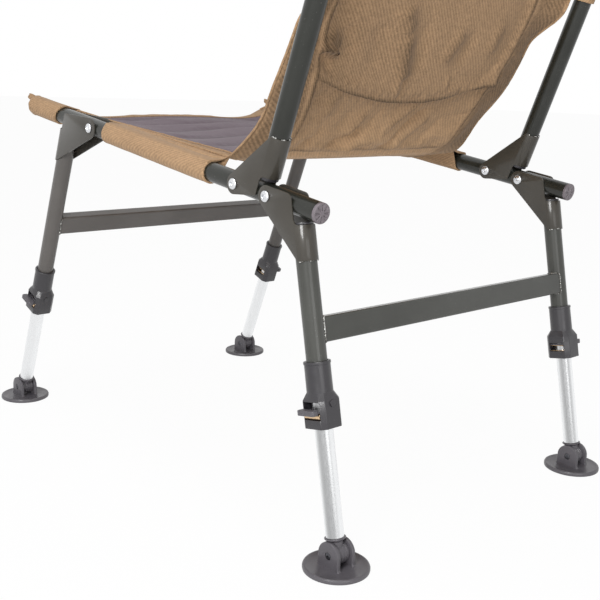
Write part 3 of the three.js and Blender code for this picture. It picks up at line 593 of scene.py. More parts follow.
def skin(rings, closed=False):
    """Points and faces of a skin over rings of equal length, which run anticlockwise against the sweep."""
    rings = [np.asarray(ring, float) for ring in rings]
    count, total = len(rings[0]), len(rings)
    faces = []
    for a in range(total if closed else total - 1):
        b = (a + 1) % total
        for i in range(count):
            n = (i + 1) % count
            faces.append((a * count + i, a * count + n, b * count + n, b * count + i))
    if not closed:
        faces.append(tuple(reversed(range(count))))
        faces.append(tuple(range((total - 1) * count, total * count)))
    return np.concatenate(rings), faces


def lathe(profile, sides=48, closed=False):
    """Points and faces of a profile (radius, height) turned about Z. Open profiles are closed by caps."""
    turn = full_turn(sides)
    return skin([np.stack([r * np.cos(turn), r * np.sin(turn), np.full(sides, z)], 1) for r, z in profile],
                closed)


def rod(radius, low, high, sides):
    return lathe([(radius, low), (radius, high)], sides)


def prism(outline, low, high):
    """Points and faces of an outline (x, y) raised along Z."""
    flat = np.array(outline, float)
    return skin([np.column_stack([flat, np.full(len(flat), z)]) for z in (low, high)])


def rings_across(half, count):
    """Points and faces of a pin across X, from the rings (radius, x) of one half, which the other mirrors."""
    turn = full_turn(count)
    both = [(radius, -x) for radius, x in reversed(half)] + list(half)
    return skin([np.stack([np.full(count, x), radius * np.cos(turn), radius * np.sin(turn)], 1)
                 for radius, x in both])


def placed(x=0.0, y=0.0, z=0.0, turn=0.0, axis="X"):
    """Matrix of a place in a body's frame, turned about one axis."""
    return Matrix.Translation((x, y, z)) @ Matrix.Rotation(turn, 4, axis)


def moved(shape, matrix):
    points, faces = shape
    matrix = np.array(matrix)
    return points @ matrix[:3, :3].T + matrix[:3, 3], faces


def merged(*shapes):
    """Several closed shapes as one mesh."""
    starts = np.cumsum([0] + [len(points) for points, _ in shapes])
    faces = [tuple(i + start for i in face) for start, (_, part) in zip(starts.tolist(), shapes)
             for face in part]
    return np.concatenate([points for points, _ in shapes]), faces


def mesh_of(name, shape):
    points, faces = shape
    mesh = bpy.data.meshes.new(name)
    mesh.from_pydata(np.asarray(points).tolist(), [], faces)
    mesh.validate()
    work = bmesh.new()
    work.from_mesh(mesh)
    bmesh.ops.remove_doubles(work, verts=work.verts, dist=1e-7)
    bmesh.ops.recalc_face_normals(work, faces=work.faces)
    work.to_mesh(mesh)
    work.free()
    return mesh


def object_of(name, shape, finish=None):
    piece = bpy.data.objects.new(name, mesh_of(name, shape))
    bpy.context.scene.collection.objects.link(piece)
    if finish is not None:
        piece.data.materials.append(finishes()[finish])
    return piece


def smooth(mesh, limit=32):
    mesh.shade_smooth()
    mesh.set_sharp_from_angle(angle=math.radians(limit))


def settled(piece):
    """The piece with its modifiers made part of its mesh."""
    bpy.context.view_layer.update()
    graph = bpy.context.evaluated_depsgraph_get()
    mesh, old = bpy.data.meshes.new_from_object(piece.evaluated_get(graph), depsgraph=graph), piece.data
    piece.modifiers.clear()
    piece.data = mesh
    mesh.name = piece.name
    if old.users == 0:
        bpy.data.meshes.remove(old)
    return piece


def worked(piece, kind, **settings):
    """The piece after one modifier."""
    modifier = piece.modifiers.new(kind.lower(), kind)
    for key, value in settings.items():
        setattr(modifier, key, value)
    return settled(piece)


def combined(piece, other, operation):
    worked(piece, "BOOLEAN", operation=operation, solver="EXACT", object=other)
    bpy.data.objects.remove(other)


def cut(piece, *tools):
    """Takes the tools' shapes out of the piece."""
    for tool in tools:
        combined(piece, object_of(f"{piece.name}_cut", tool), "DIFFERENCE")
    return piece


def bevelled(piece, width, segments, limit):
    return worked(piece, "BEVEL", width=width, segments=segments, limit_method="ANGLE",
                  angle_limit=math.radians(limit), harden_normals=False, miter_outer="MITER_ARC")


def fit_out(piece, matrix, body, nodes=(), limit=32):
    """Places a finished piece in the chair on its body, and hides the frame's pieces that it stands for."""
    piece.data.transform(matrix)
    smooth(piece.data, limit)
    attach(piece, body)
    if nodes:
        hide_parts(*nodes)
    return piece


# Geometry node trees

class GrowthTree(Tree):
    """A geometry node tree with named inputs"""

    def __init__(self, name, *inputs):
        super().__init__(bpy.data.node_groups.new(name, "GeometryNodeTree"))
        face = self.tree.interface
        face.new_socket("Geometry", in_out="INPUT", socket_type="NodeSocketGeometry")
        for label, kind, default in (*inputs, ("Finish", "Material", None)):
            socket = face.new_socket(label, in_out="INPUT", socket_type=f"NodeSocket{kind}")
            if default is not None:
                socket.default_value = default
        face.new_socket("Geometry", in_out="OUTPUT", socket_type="NodeSocketGeometry")
        self.input = self.tree.nodes.new("NodeGroupInput")

    def __getitem__(self, label):
        return Wire(self, self.input.outputs[label])

    def path(self):
        return self.node("GeometryNodeMeshToCurve", {}, {"Mesh": self["Geometry"]})

    def sweep(self, curve, sides):
        """A round tube or cord along a curve, its ends closed."""
        circle = {"Resolution": sides, "Radius": self["Radius"]}
        ring = self.node("GeometryNodeCurvePrimitiveCircle", {"mode": "RADIUS"}, circle)
        sweep = {"Curve": curve, "Profile Curve": ring, "Fill Caps": True}
        return self.end(self.node("GeometryNodeCurveToMesh", {}, sweep))

    def row(self, pitch, item, aligned=False, **placing):
        """Copies of an item along the path, a pitch apart."""
        points = self.node("GeometryNodeCurveToPoints", {"mode": "LENGTH"}, {
            "Curve": self.path(), "Length": self[pitch]})
        if aligned:
            placing["Rotation"] = Wire(self, points.socket.node.outputs["Rotation"])
        return self.node("GeometryNodeInstanceOnPoints", {}, {"Points": points, "Instance": item, **placing})

    def rod(self, sides, radius, depth):
        return self.node("GeometryNodeMeshCylinder", {"fill_type": "NGON"}, {
            "Vertices": sides, "Radius": radius, "Depth": depth}, "Mesh")

    def end(self, geometry):
        """Realize Instances, then Set Material, then the output."""
        real = self.node("GeometryNodeRealizeInstances", {}, {"Geometry": geometry})
        done = self.node("GeometryNodeSetMaterial", {}, {"Geometry": real, "Material": self["Finish"]})
        self.feed(self.tree.nodes.new("NodeGroupOutput").inputs[0], done)
        return self.tree


def grown(name, tree, paths, values, turns=None):
    """Runs a geometry node tree on one or more paths, and keeps the result as a plain mesh."""
    points, edges = [], []
    for path in paths:
        edges += [(i, i + 1) for i in range(len(points), len(points) + len(path) - 1)]
        points += list(path)
    base = bpy.data.meshes.new(name)
    base.from_pydata(np.asarray(points, float).tolist(), edges, [])
    if turns is not None:
        layer = base.attributes.new("turn", "FLOAT_VECTOR", "POINT")
        layer.data.foreach_set("vector", np.asarray(turns, np.float32).ravel())
    piece = bpy.data.objects.new(name, base)
    bpy.context.scene.collection.objects.link(piece)
    modifier = piece.modifiers.new("tree", "NODES")
    modifier.node_group = tree
    sockets = {item.name: item.identifier for item in tree.interface.items_tree if item.in_out == "INPUT"}
    for label, value in values.items():
        modifier[sockets[label]] = value
    return settled(piece)


@cache
def path_tube_tree():
    """A round tube along a path, its ends closed."""
    tree = GrowthTree("path_tube", ("Radius", "Float", 0.0125), ("Sides", "Int", 48))
    return tree.sweep(tree.path(), tree["Sides"])


@cache
def bead_tree():
    """Small overlapping beads along a path, turned and sized a little unevenly."""
    tree = GrowthTree("weld_beads", ("Bead Radius", "Float", 0.0014), ("Pitch", "Float", 0.0012),
                      ("Seed", "Int", 3))

    def chance(low, high):
        return tree.node("FunctionNodeRandomValue", {"data_type": "FLOAT_VECTOR"}, {
            "Min": low, "Max": high, "Seed": tree["Seed"]})

    bead = tree.node("GeometryNodeMeshIcoSphere", {}, {"Radius": tree["Bead Radius"], "Subdivisions": 2},
                     "Mesh")
    beads = tree.row("Pitch", bead, Scale=chance((0.85, 0.85, 0.7), (1.15, 1.15, 1.0)),
                     Rotation=chance((0.0, 0.0, 0.0), (0.6, 0.6, 3.1)))
    return tree.end(tree.node("GeometryNodeSetShadeSmooth", {}, {"Geometry": beads}))


def path_tube(name, points, radius, finish):
    values = {"Radius": radius, "Sides": 48, "Finish": finishes()[finish]}
    return grown(name, path_tube_tree(), [points], values)


def weld(name, paths, radius, matrix, body, seed):
    """Beads of weld along several paths of one body."""
    values = {"Bead Radius": radius, "Pitch": radius * 0.9, "Seed": seed, "Finish": finishes()["weld"]}
    return fit_out(grown(name, bead_tree(), paths, values), matrix, body)


# Frame pieces

# Clearance of the plugs in the tubes, and how far they run in
PLUG_GAP = 0.0003
PLUG_STEM = 0.012


def spoked_face(tubing, flange, spokes=8, depth=0.0013):
    """A moulded end plug: stem in the tube, rounded flange, and a face with grooves between its spokes."""
    turn = full_turn(12 * spokes)
    groove = depth * np.clip((np.cos(spokes * turn) - 0.25) / 0.35, 0.0, 1.0)
    radius, inner = tubing.radius, tubing.radius - tubing.wall - PLUG_GAP
    hub, rim = 0.27 * radius, 0.83 * radius
    body = [(0.0004, -PLUG_STEM), (inner - 0.0006, -PLUG_STEM), (inner, -PLUG_STEM + 0.0006),
            (inner, PLUG_GAP), (radius, PLUG_GAP), (radius, flange - 0.0011),
            (radius - 0.0003, flange - 0.0004), (radius - 0.001, flange)]
    cuts = [(rim + 0.0004, 0.0), (rim, 0.15), (rim - 0.0004, 0.85), (rim - 0.0008, 1.0),
            (0.5 * (hub + rim), 1.0), (hub + 0.0008, 1.0), (hub + 0.0004, 0.85), (hub, 0.15),
            (hub - 0.0004, 0.0), (0.0012, 0.0)]
    rings = [(r, z, 0.0) for r, z in body] + [(r, flange, cutting) for r, cutting in cuts]
    return skin([np.stack([r * np.cos(turn), r * np.sin(turn), z - cutting * groove], 1)
                 for r, z, cutting in rings])


def plain_plug(tubing, flange):
    radius, inner = tubing.radius, tubing.radius - tubing.wall - PLUG_GAP
    return lathe(softened([(0.0002, -PLUG_STEM), (inner, -PLUG_STEM), (inner, PLUG_GAP), (radius, PLUG_GAP),
                           (radius, flange), (0.0002, flange)], 0.0008))


def bolt_shape(seat, head, height, shank):
    """Domed bolt across X, with a six-sided socket in each end."""
    six = 0.0023 / np.cos((full_turn(48) + math.pi / 6) % (math.pi / 3) - math.pi / 6)
    top, rim = seat + height, 0.0009
    dome = [(head * math.cos(a), seat + rim + (height - rim) * math.sin(a))
            for a in np.linspace(0.35, 1.05, 7)]
    return rings_across([(shank, seat), (head - 0.0003, seat), (head, seat + 0.0004),
                         (head * 0.985, seat + 0.001), *dome, (six + 0.0004, top), (six, top - 0.0004),
                         (six, top - 0.002), (six * 0.1, top - 0.0024)], 48)


@cache
def bolts_tree():
    """One bolt at each pivot, turned so that its head is on the outer side."""
    tree = GrowthTree("pivot_bolts", ("Bolt", "Object", None))
    bolt = tree.node("GeometryNodeObjectInfo", {"transform_space": "ORIGINAL"}, {"Object": tree["Bolt"]},
                     "Geometry")
    turn = tree.node("GeometryNodeInputNamedAttribute", {"data_type": "FLOAT_VECTOR"}, {"Name": "turn"},
                     "Attribute")
    points = tree.node("GeometryNodeMeshToPoints", {"mode": "VERTICES"}, {"Mesh": tree["Geometry"]})
    return tree.end(tree.node("GeometryNodeInstanceOnPoints", {}, {
        "Points": points, "Instance": bolt, "Rotation": turn}))


# A kind of hinge bracket: its body and node, its outline's sizes, and its flips along the chair and upright
Bracket = namedtuple("Bracket", "body stem offset tilt ear shoulder rise start reach flips")
BORE, FILLET = 0.0045, 0.007


def bracket_blank(plan):
    """Side outline of a hinge bracket's cheek, from the web's top round the ear to the wrap, and its bore."""
    across = plan.offset - plan.shoulder
    along = across * math.tan(plan.tilt) - plan.rise / math.cos(plan.tilt)
    low = math.atan2(along, across) - math.acos((plan.ear - plan.shoulder) / math.hypot(across, along))
    end = plan.start + plan.reach
    web = math.atan2(end, plan.offset) + math.acos(plan.ear / math.hypot(plan.offset, end))
    outline = arc((0, 0), plan.ear, web, 2 * math.pi + low, 30)
    outline += arc((across, along), plan.shoulder, low, 0, 10)
    outline += [(plan.offset, plan.start - FILLET), (plan.offset, end)]
    return outline, arc((0, 0), BORE, 0, 2 * math.pi, 24)[:-1]


def stamped_bracket(name, sizes, plan):
    """Two cheeks joined by a half round wrap behind the tube, as one folded sheet."""
    middle = sizes.radius + sizes.gap + sizes.sheet / 2
    outline, hole = bracket_blank(plan)
    flat = outline + hole
    triangles = tessellate_polygon([[Vector((a, b, 0)) for a, b in part] for part in (outline, hole)])
    count, low, high = len(flat), len(outline) - 2, len(outline) - 1
    points = [(side * middle, a, b) for side in (1, -1) for a, b in flat]
    faces = [tuple(t) for t in triangles] + [tuple(count + i for i in reversed(t)) for t in triangles]
    columns = [(low, high)]
    for bend in np.linspace(0, math.pi, 37)[1:-1]:
        x, out = middle * math.cos(bend), middle * math.sin(bend)
        drop = FILLET - math.sqrt(max(0.0, FILLET**2 - (FILLET - out) ** 2)) if out < FILLET else 0.0
        columns.append((len(points), len(points) + 1))
        points += [(x, plan.offset + out, plan.start - drop), (x, plan.offset + out, plan.start + plan.reach)]
    columns.append((count + low, count + high))
    faces += [(a, c, d, b) for (a, b), (c, d) in zip(columns, columns[1:])]
    points = [(x, plan.flips[0] * y, plan.flips[1] * z) for x, y, z in points]
    piece = object_of(name, (points, faces), "plates")
    worked(piece, "SOLIDIFY", thickness=sizes.sheet, offset=0.0, use_even_offset=True)
    return bevelled(piece, 0.00035, 2, 50)


def bracket_plans(sizes):
    return [
        Bracket("backrest", "backrest_bracket", sizes.backrest_offset, sizes.backrest_lean - sizes.rail_slope,
                0.0125, 0.004, 0.0005, sizes.backrest_start, 0.049, (1, 1)),
        Bracket("front_legs", "front_leg_bracket", sizes.front_offset, sizes.front_lean - sizes.rail_slope,
                0.015, 0.006, 0.003, sizes.leg_top, 0.049, (-1, -1)),
        Bracket("rear_legs", "rear_leg_bracket", sizes.rear_offset, sizes.rear_lean + sizes.rail_slope,
                0.013, 0.008, 0.005, sizes.leg_top, 0.041, (1, -1)),
    ]


def rounded_rectangle(width, depth, corner, steps=4):
    points = []
    for sx, sy, start in ((1, 1, 0), (-1, 1, 90), (-1, -1, 180), (1, -1, 270)):
        centre = (sx * (width / 2 - corner), sy * (depth / 2 - corner))
        begin = math.radians(start)
        points += arc(centre, corner, begin, begin + math.pi / 2, steps)
    return points


def even_outline(points, step):
    """A closed outline with extra points along its straight stretches."""
    out = []
    for here, ahead in zip(points, points[1:] + points[:1]):
        count = max(1, round(math.dist(here, ahead) / step))
        out += [tuple(np.array(here) + (np.array(ahead) - np.array(here)) * i / count) for i in range(count)]
    return out


def coped_bar(sizes):
    """Rectangular bar whose ends follow the round legs, and the paths of its welds."""
    outline = even_outline(rounded_rectangle(sizes.bar_depth, sizes.bar_height, sizes.bar_corner, 5), 0.002)

    def end_ring(side, part):
        return [(side * (sizes.spacing / 2 - math.sqrt(sizes.radius**2 - (y * part) ** 2) + 0.0002), y * part,
                 z * part) for y, z in outline]

    parts = (0.04, 0.4, 0.75, 1.0)
    bar = skin([end_ring(-1, part) for part in parts] + [end_ring(1, part) for part in reversed(parts)])
    ends = [(side, end_ring(side, 1.0)) for side in (-1, 1)]
    return bar, [[(x - side * 0.0006, y * 1.03, z * 1.02) for x, y, z in end + end[:1]] for side, end in ends]


def adjuster_rings(fittings, tubing):
    """Outer skin and bores of an adjuster, as rings from the box's foot up and back down inside."""
    top = -fittings.collar_length - fittings.shoulder
    foot, neck = top - fittings.box_height, -fittings.collar_length
    half_x, half_y, chamfer = fittings.box_width / 2, fittings.box_depth / 2, fittings.box_corner
    corners = [(half_x, half_y - chamfer), (half_x - chamfer, half_y)]
    corners += [(-x, y) for x, y in reversed(corners)]
    corners += [(-x, -y) for x, y in corners]
    box = np.array(even_outline(softened(corners, 0.0012, closed=True), 0.0014))
    turn = np.arctan2(box[:, 1], box[:, 0])

    def circle(radius, z):
        return np.stack([radius * np.cos(turn), radius * np.sin(turn), np.full(len(turn), z)], 1)

    def inset(amount, z):
        flat = box * (1 - amount / np.linalg.norm(box, axis=1, keepdims=True))
        return np.column_stack([flat, np.full(len(turn), z)])

    collar, seat = fittings.collar_radius, -fittings.collar_seat
    bore, throat = tubing.radius + tubing.gap, fittings.extension_radius + 0.0005
    outside = [(collar + 0.0004, neck - 0.0006), (collar, neck), (collar - 0.0002, -0.0062),
               (collar - 0.0002, -0.0036), (collar + 0.0005, -0.0031), (collar + 0.0005, -0.0007),
               (collar, -0.0001), (collar - 0.0007, 0.0)]
    inside = [(bore + 0.0006, 0.0), (bore, -0.0006), (bore, seat), (throat, seat - 0.0004),
              (throat, foot + 0.0008), (throat + 0.0008, foot)]
    box_rings = [(0.0008, foot), (0.0002, foot + 0.0002), (0.0, foot + 0.0008), (0.0, top - 0.0006),
                 (0.0003, top)]
    return skin([inset(*ring) for ring in box_rings] + [circle(*ring) for ring in outside + inside],
                closed=True)


def block(x0, x1, y0, y1, z0, z1):
    return prism([(x0, y0), (x1, y0), (x1, y1), (x0, y1)], z0, z1)


def window_levels(fittings):
    top = -fittings.collar_length - fittings.shoulder - fittings.window_drop
    return top, top - fittings.window_height, top - fittings.lever_drop


def adjuster_housing(name, fittings, tubing):
    top, foot, _ = window_levels(fittings)
    half_x, half_y = fittings.cavity_width / 2, fittings.cavity_depth / 2
    outer, inner, far = 0.0138, 0.012, fittings.box_width
    piece = object_of(name, adjuster_rings(fittings, tubing), "black")
    cut(piece, block(-half_x, half_x, -half_y, half_y, foot, top), block(0, far, -outer, outer, foot, top),
        block(-far, 0, -inner, inner, foot, foot + fittings.inner_window))
    bevelled(piece, 0.0004, 2, 55)
    boss = softened([(0.0002, -0.001), (0.0042, -0.001), (0.0042, 0.0014), (0.0002, 0.0014)], 0.0004)
    rear = placed(0, fittings.box_depth / 2, top - 0.0025, -math.pi / 2)
    return joined(piece, object_of(f"{name}_boss", moved(lathe(boss, 24), rear), "black"))


def joined(piece, *others):
    """Several finished meshes as one piece."""
    work = bmesh.new()
    work.from_mesh(piece.data)
    for other in others:
        work.from_mesh(other.data)
    work.to_mesh(piece.data)
    work.free()
    for other in others:
        bpy.data.objects.remove(other)
    return piece


@cache
def ribs_tree():
    """Ribs side by side across a thumb tab."""
    tree = GrowthTree("thumb_ribs", ("Pitch", "Float", 0.002), ("Width", "Float", 0.0009),
                      ("Length", "Float", 0.005))
    return tree.end(tree.row("Pitch", tree.rod(12, tree["Width"], tree["Length"])))


def thumb_lever(name, fittings):
    """Plate round the extension tube with a ribbed thumb tab outside the window."""
    end = fittings.box_width / 2 + 0.0003
    half, tall = fittings.lever_plate / 2, fittings.tab_height / 2
    plate = object_of(name, block(-0.0126, end, -0.0134, 0.0134, -half, half), "grey")
    cut(plate, rod(fittings.extension_radius + 0.0009, -0.01, 0.01, 40))
    tab = prism(rounded_rectangle(fittings.tab_reach, fittings.tab_depth, 0.003, 5), -tall, tall)
    tab = object_of(f"{name}_tab", moved(tab, placed(end + fittings.tab_reach / 2)), "grey")
    edge = end + fittings.tab_reach - 0.0003
    values = {"Pitch": 0.0021, "Width": 0.0006, "Length": 0.0048, "Finish": finishes()["grey"]}
    ribs = grown(f"{name}_ribs", ribs_tree(), [[(edge, -0.0095, 0), (edge, 0.0095, 0)]], values)
    return joined(bevelled(plate, 0.0003, 1, 50), bevelled(tab, 0.0009, 3, 50), ribs)


def leaf_spring(name, fittings):
    """Brass strip bent back on itself, slotted for the extension tube."""
    _, foot, level = window_levels(fittings)
    rise = level - fittings.lever_plate / 2 - foot - 0.0006
    bend, thick = rise / 2, fittings.leaf
    start, bend_at = -fittings.cavity_width / 2 + 0.0003, fittings.box_width / 2 - bend
    outline = [(start, 0.0), *arc((bend_at, bend), bend, -math.pi / 2, math.pi / 2, 14), (start, rise),
               (start, rise - thick), *arc((bend_at, bend), bend - thick, math.pi / 2, -math.pi / 2, 14),
               (start, thick)]
    strip = moved(prism([(x, -z) for x, z in outline], -0.0128, 0.0128), placed(turn=-math.pi / 2))
    piece = object_of(name, moved(strip, placed(z=foot + 0.0003)), "brass")
    cut(piece, rod(fittings.extension_radius + 0.0009, foot - 0.01, level, 40))
    return bevelled(piece, 0.0002, 1, 50)


def foot_disc(fittings):
    """Flat disc with rounded rims, seen slightly dished between rim and cheeks."""
    radius, base = fittings.foot_radius, -fittings.foot_thickness - fittings.pin_rise
    top = base + fittings.foot_thickness
    return lathe([(0.0004, base), (radius - 0.0012, base), (radius - 0.0003, base + 0.0005),
                  (radius, base + 0.0016), (radius, top - 0.0022), (radius - 0.0007, top - 0.0007),
                  (radius - 0.002, top), (radius - 0.004, top), (radius - 0.0052, top - 0.0005),
                  (0.022, top - 0.0002), (0.0004, top)], 96)


def foot_cheek(fittings, at):
    """Cheek with a round top, rounded faces and a foot that spreads into the disc."""
    base, radius, spread = -fittings.pin_rise - 0.001, fittings.cheek_radius, 0.0022
    flare = [(radius + spread, base), (radius + spread * 0.35, base + 0.0014), (radius, base + 0.0036)]
    outline = flare + arc((0, 0), radius, 0.0, math.pi, 28) + [(-x, z) for x, z in reversed(flare)]
    half = fittings.cheek / 2
    side = [(-half, 0.0012), (-half + 0.0004, 0.0004), (-half + 0.0012, 0.0)]
    rings = []
    for x, inset in side + [(-x, inset) for x, inset in reversed(side)]:
        ring = [(y, z, 1 - inset / max(math.hypot(y, z), 1e-6)) for y, z in outline]
        rings.append([(at + x, y * scale, z * scale if z > base + 0.004 else z) for y, z, scale in ring])
    return skin(rings)


def foot_pad(name, fittings):
    at = fittings.knuckle_width / 2 + 0.0003 + fittings.cheek / 2
    piece = object_of(name, foot_disc(fittings), "grey")
    for side in (-1, 1):
        cheek = object_of(f"{name}_cheek", foot_cheek(fittings, side * at))
        outward = placed(side * (at + fittings.cheek / 2 - 0.002), turn=side * math.pi / 2, axis="Y")
        cut(cheek, moved(rod(0.0047, 0.0, 0.02, 32), outward), moved(rod(0.0029, -0.02, 0.02, 24), outward))
        combined(piece, cheek, "UNION")
    return piece


def foot_pin(fittings):
    """Swivel pin with two sunk heads, each with a cross recess."""
    face = fittings.knuckle_width / 2 + 0.0003 + fittings.cheek
    turn = 2 * full_turn(32)
    cross = 0.0007 + 0.0016 * np.clip(np.cos(turn) ** 12 + np.cos(turn + math.pi) ** 12, 0, 1)
    return rings_across([(0.0026, face - 0.0017), (0.0044, face - 0.0017), (0.0044, face - 0.0008),
                         (0.0041, face - 0.0004), (0.0030, face - 0.0001), (cross, face - 0.0001),
                         (cross * 0.9, face - 0.0008)], 32)


def foot_knuckle(fittings):
    """Barrel with grooves between the cheeks, a neck and a socket lip round the tube."""
    half, radius = fittings.knuckle_width / 2, fittings.knuckle_radius
    profile = [(0.0030, -half), (radius - 0.0008, -half), (radius, -half + 0.0008)]
    for groove in (-0.0045, 0.0, 0.0045):
        profile += [(radius, groove - 0.0007), (radius - 0.0006, groove - 0.0003),
                    (radius - 0.0006, groove + 0.0003), (radius, groove + 0.0007)]
    profile += [(radius, half - 0.0008), (radius - 0.0008, half), (0.0030, half)]
    barrel = moved(lathe(profile, closed=True), placed(turn=math.pi / 2, axis="Y"))
    lip, drop = fittings.lip_radius, fittings.lip_drop
    return merged(barrel, lathe([
        (0.0004, 0.004), (0.0092, 0.004), (0.0092, drop - 0.0048), (lip - 0.0008, drop - 0.0022),
        (lip, drop - 0.0014), (lip, drop - 0.0006), (lip - 0.0006, drop), (0.0112, drop),
        (0.0095, drop - 0.0004), (0.0095, drop + 0.015),
        (0.0004, drop + 0.015)]))


# Padding: steps along its seat, its fold and its back, and the run over which its sides are drawn out

SEAT_STEPS, FOLD_STEPS, BACK_STEPS = 250, 400, 210
GUSSET_RUN = 0.072

# Frames in which the cloth settles
CLOTH_FRAMES = 20


class PaddingPath:
    """Centre line of the padding in the side plane, from the seat's front hem over the crease up the back."""

    def __init__(self, sizes, tubing):
        self.sizes = sizes
        frames = body_frames()
        seat, back = frames["seat_frame"], frames["backrest"]
        front, rear = -tubing.rail_overhang, tubing.backrest_setback - sizes.crease_setback
        wide, narrow = sizes.half_width, sizes.back_half_width
        rows = []
        for along in np.linspace(front, rear, SEAT_STEPS):
            part = (along - front) / (rear - front)
            swell = fill_near(along - front, sizes.thickness / 2, 0.3)
            swell *= fill_near(rear - along, sizes.thickness, 0.35)
            level = between(sizes.front_level, sizes.rear_level, part)
            sag = between(sizes.front_sag, sizes.rear_sag, part)
            rows.append((seat, (along, level), (0.0, 1.0), wide, sizes.thickness * swell, sag, swell, 0.0))
        tilt = tubing.backrest_lean - tubing.rail_slope
        ahead = rear + tubing.gap - tubing.backrest_setback
        rail = np.array((math.cos(tilt), math.sin(tilt)))
        start = rail * ahead + np.array((-math.sin(tilt), math.cos(tilt))) * sizes.rear_level
        end = np.array((tubing.backrest_offset - sizes.back_setforward, sizes.back_start))
        knots = [start, start + rail * 0.01, end - np.array((0, 0.138)), end]
        t = np.linspace(0, 1, FOLD_STEPS)[:, None]
        curve = ((1 - t) ** 3 * knots[0] + 3 * (1 - t) ** 2 * t * knots[1] + 3 * (1 - t) * t**2 * knots[2]
                 + t**3 * knots[3])
        walked = np.concatenate([[0], np.cumsum(np.linalg.norm(np.diff(curve, axis=0), axis=1))])
        headings = np.gradient(curve, axis=0)
        for spot, heading, gone in list(zip(curve, headings, walked))[3::3]:
            part = gone / walked[-1]
            ease = eased(part)
            heading = heading / np.linalg.norm(heading)
            swell = fill_near(gone, GUSSET_RUN, 0.35)
            thick = between(sizes.thickness, sizes.back_thickness, part)
            sag = sizes.rear_sag - (sizes.rear_sag + sizes.back_hollow) * ease
            width = between(wide, narrow, part)
            across = (-heading[1], heading[0])
            rows.append((back, tuple(spot), across, width, thick * swell, sag, swell, ease))
        top = tubing.backrest_top + tubing.bow_rise - tubing.radius
        for level in np.linspace(sizes.back_start + 0.0018, top, BACK_STEPS):
            swell = fill_near(top - level, sizes.back_thickness, 0.3)
            width = narrow * fill_near(top - level, tubing.bow_radius, 0.86)
            rows.append((back, (end[0], level), (-1.0, 0.0), width, sizes.back_thickness * swell,
                         -sizes.back_hollow, swell, 1.0))
        centre, normal = [], []
        for matrix, (y, z), (ny, nz), *_ in rows:
            centre.append(tuple(matrix @ Vector((0, y, z)))[1:])
            normal.append(tuple(matrix.to_3x3() @ Vector((0, ny, nz)))[1:])
        self.centre, self.normal = np.array(centre), np.array(normal)
        steps = np.linalg.norm(np.diff(self.centre, axis=0), axis=1)
        self.gone = np.concatenate([[0], np.cumsum(steps)])
        self.width, self.thick, self.hollow, self.swell, self.upright = (
            np.array([row[i] for row in rows]) for i in range(3, 8))
        self.length = self.gone[-1]
        self.crease = float(self.gone[SEAT_STEPS - 1])
        self.top = top

    def at(self, values, along):
        return np.interp(along, self.gone, values)

    def point(self, x, along, height):
        """Points at a height above the centre line, along its normal."""
        ny, nz = self.at(self.normal[:, 0], along), self.at(self.normal[:, 1], along)
        size = np.hypot(ny, nz)
        y = self.at(self.centre[:, 0], along) + ny / size * height
        z = self.at(self.centre[:, 1], along) + nz / size * height
        return np.stack([x, y, z], -1)


def between(start, end, part):
    return start + (end - start) * part


def eased(part):
    return part * part * (3 - 2 * part)


def fill_near(distance, reach, least):
    short = min(max(1 - distance / reach, 0.0), 1.0)
    return least + (1 - least) * math.sqrt(1 - short * short)


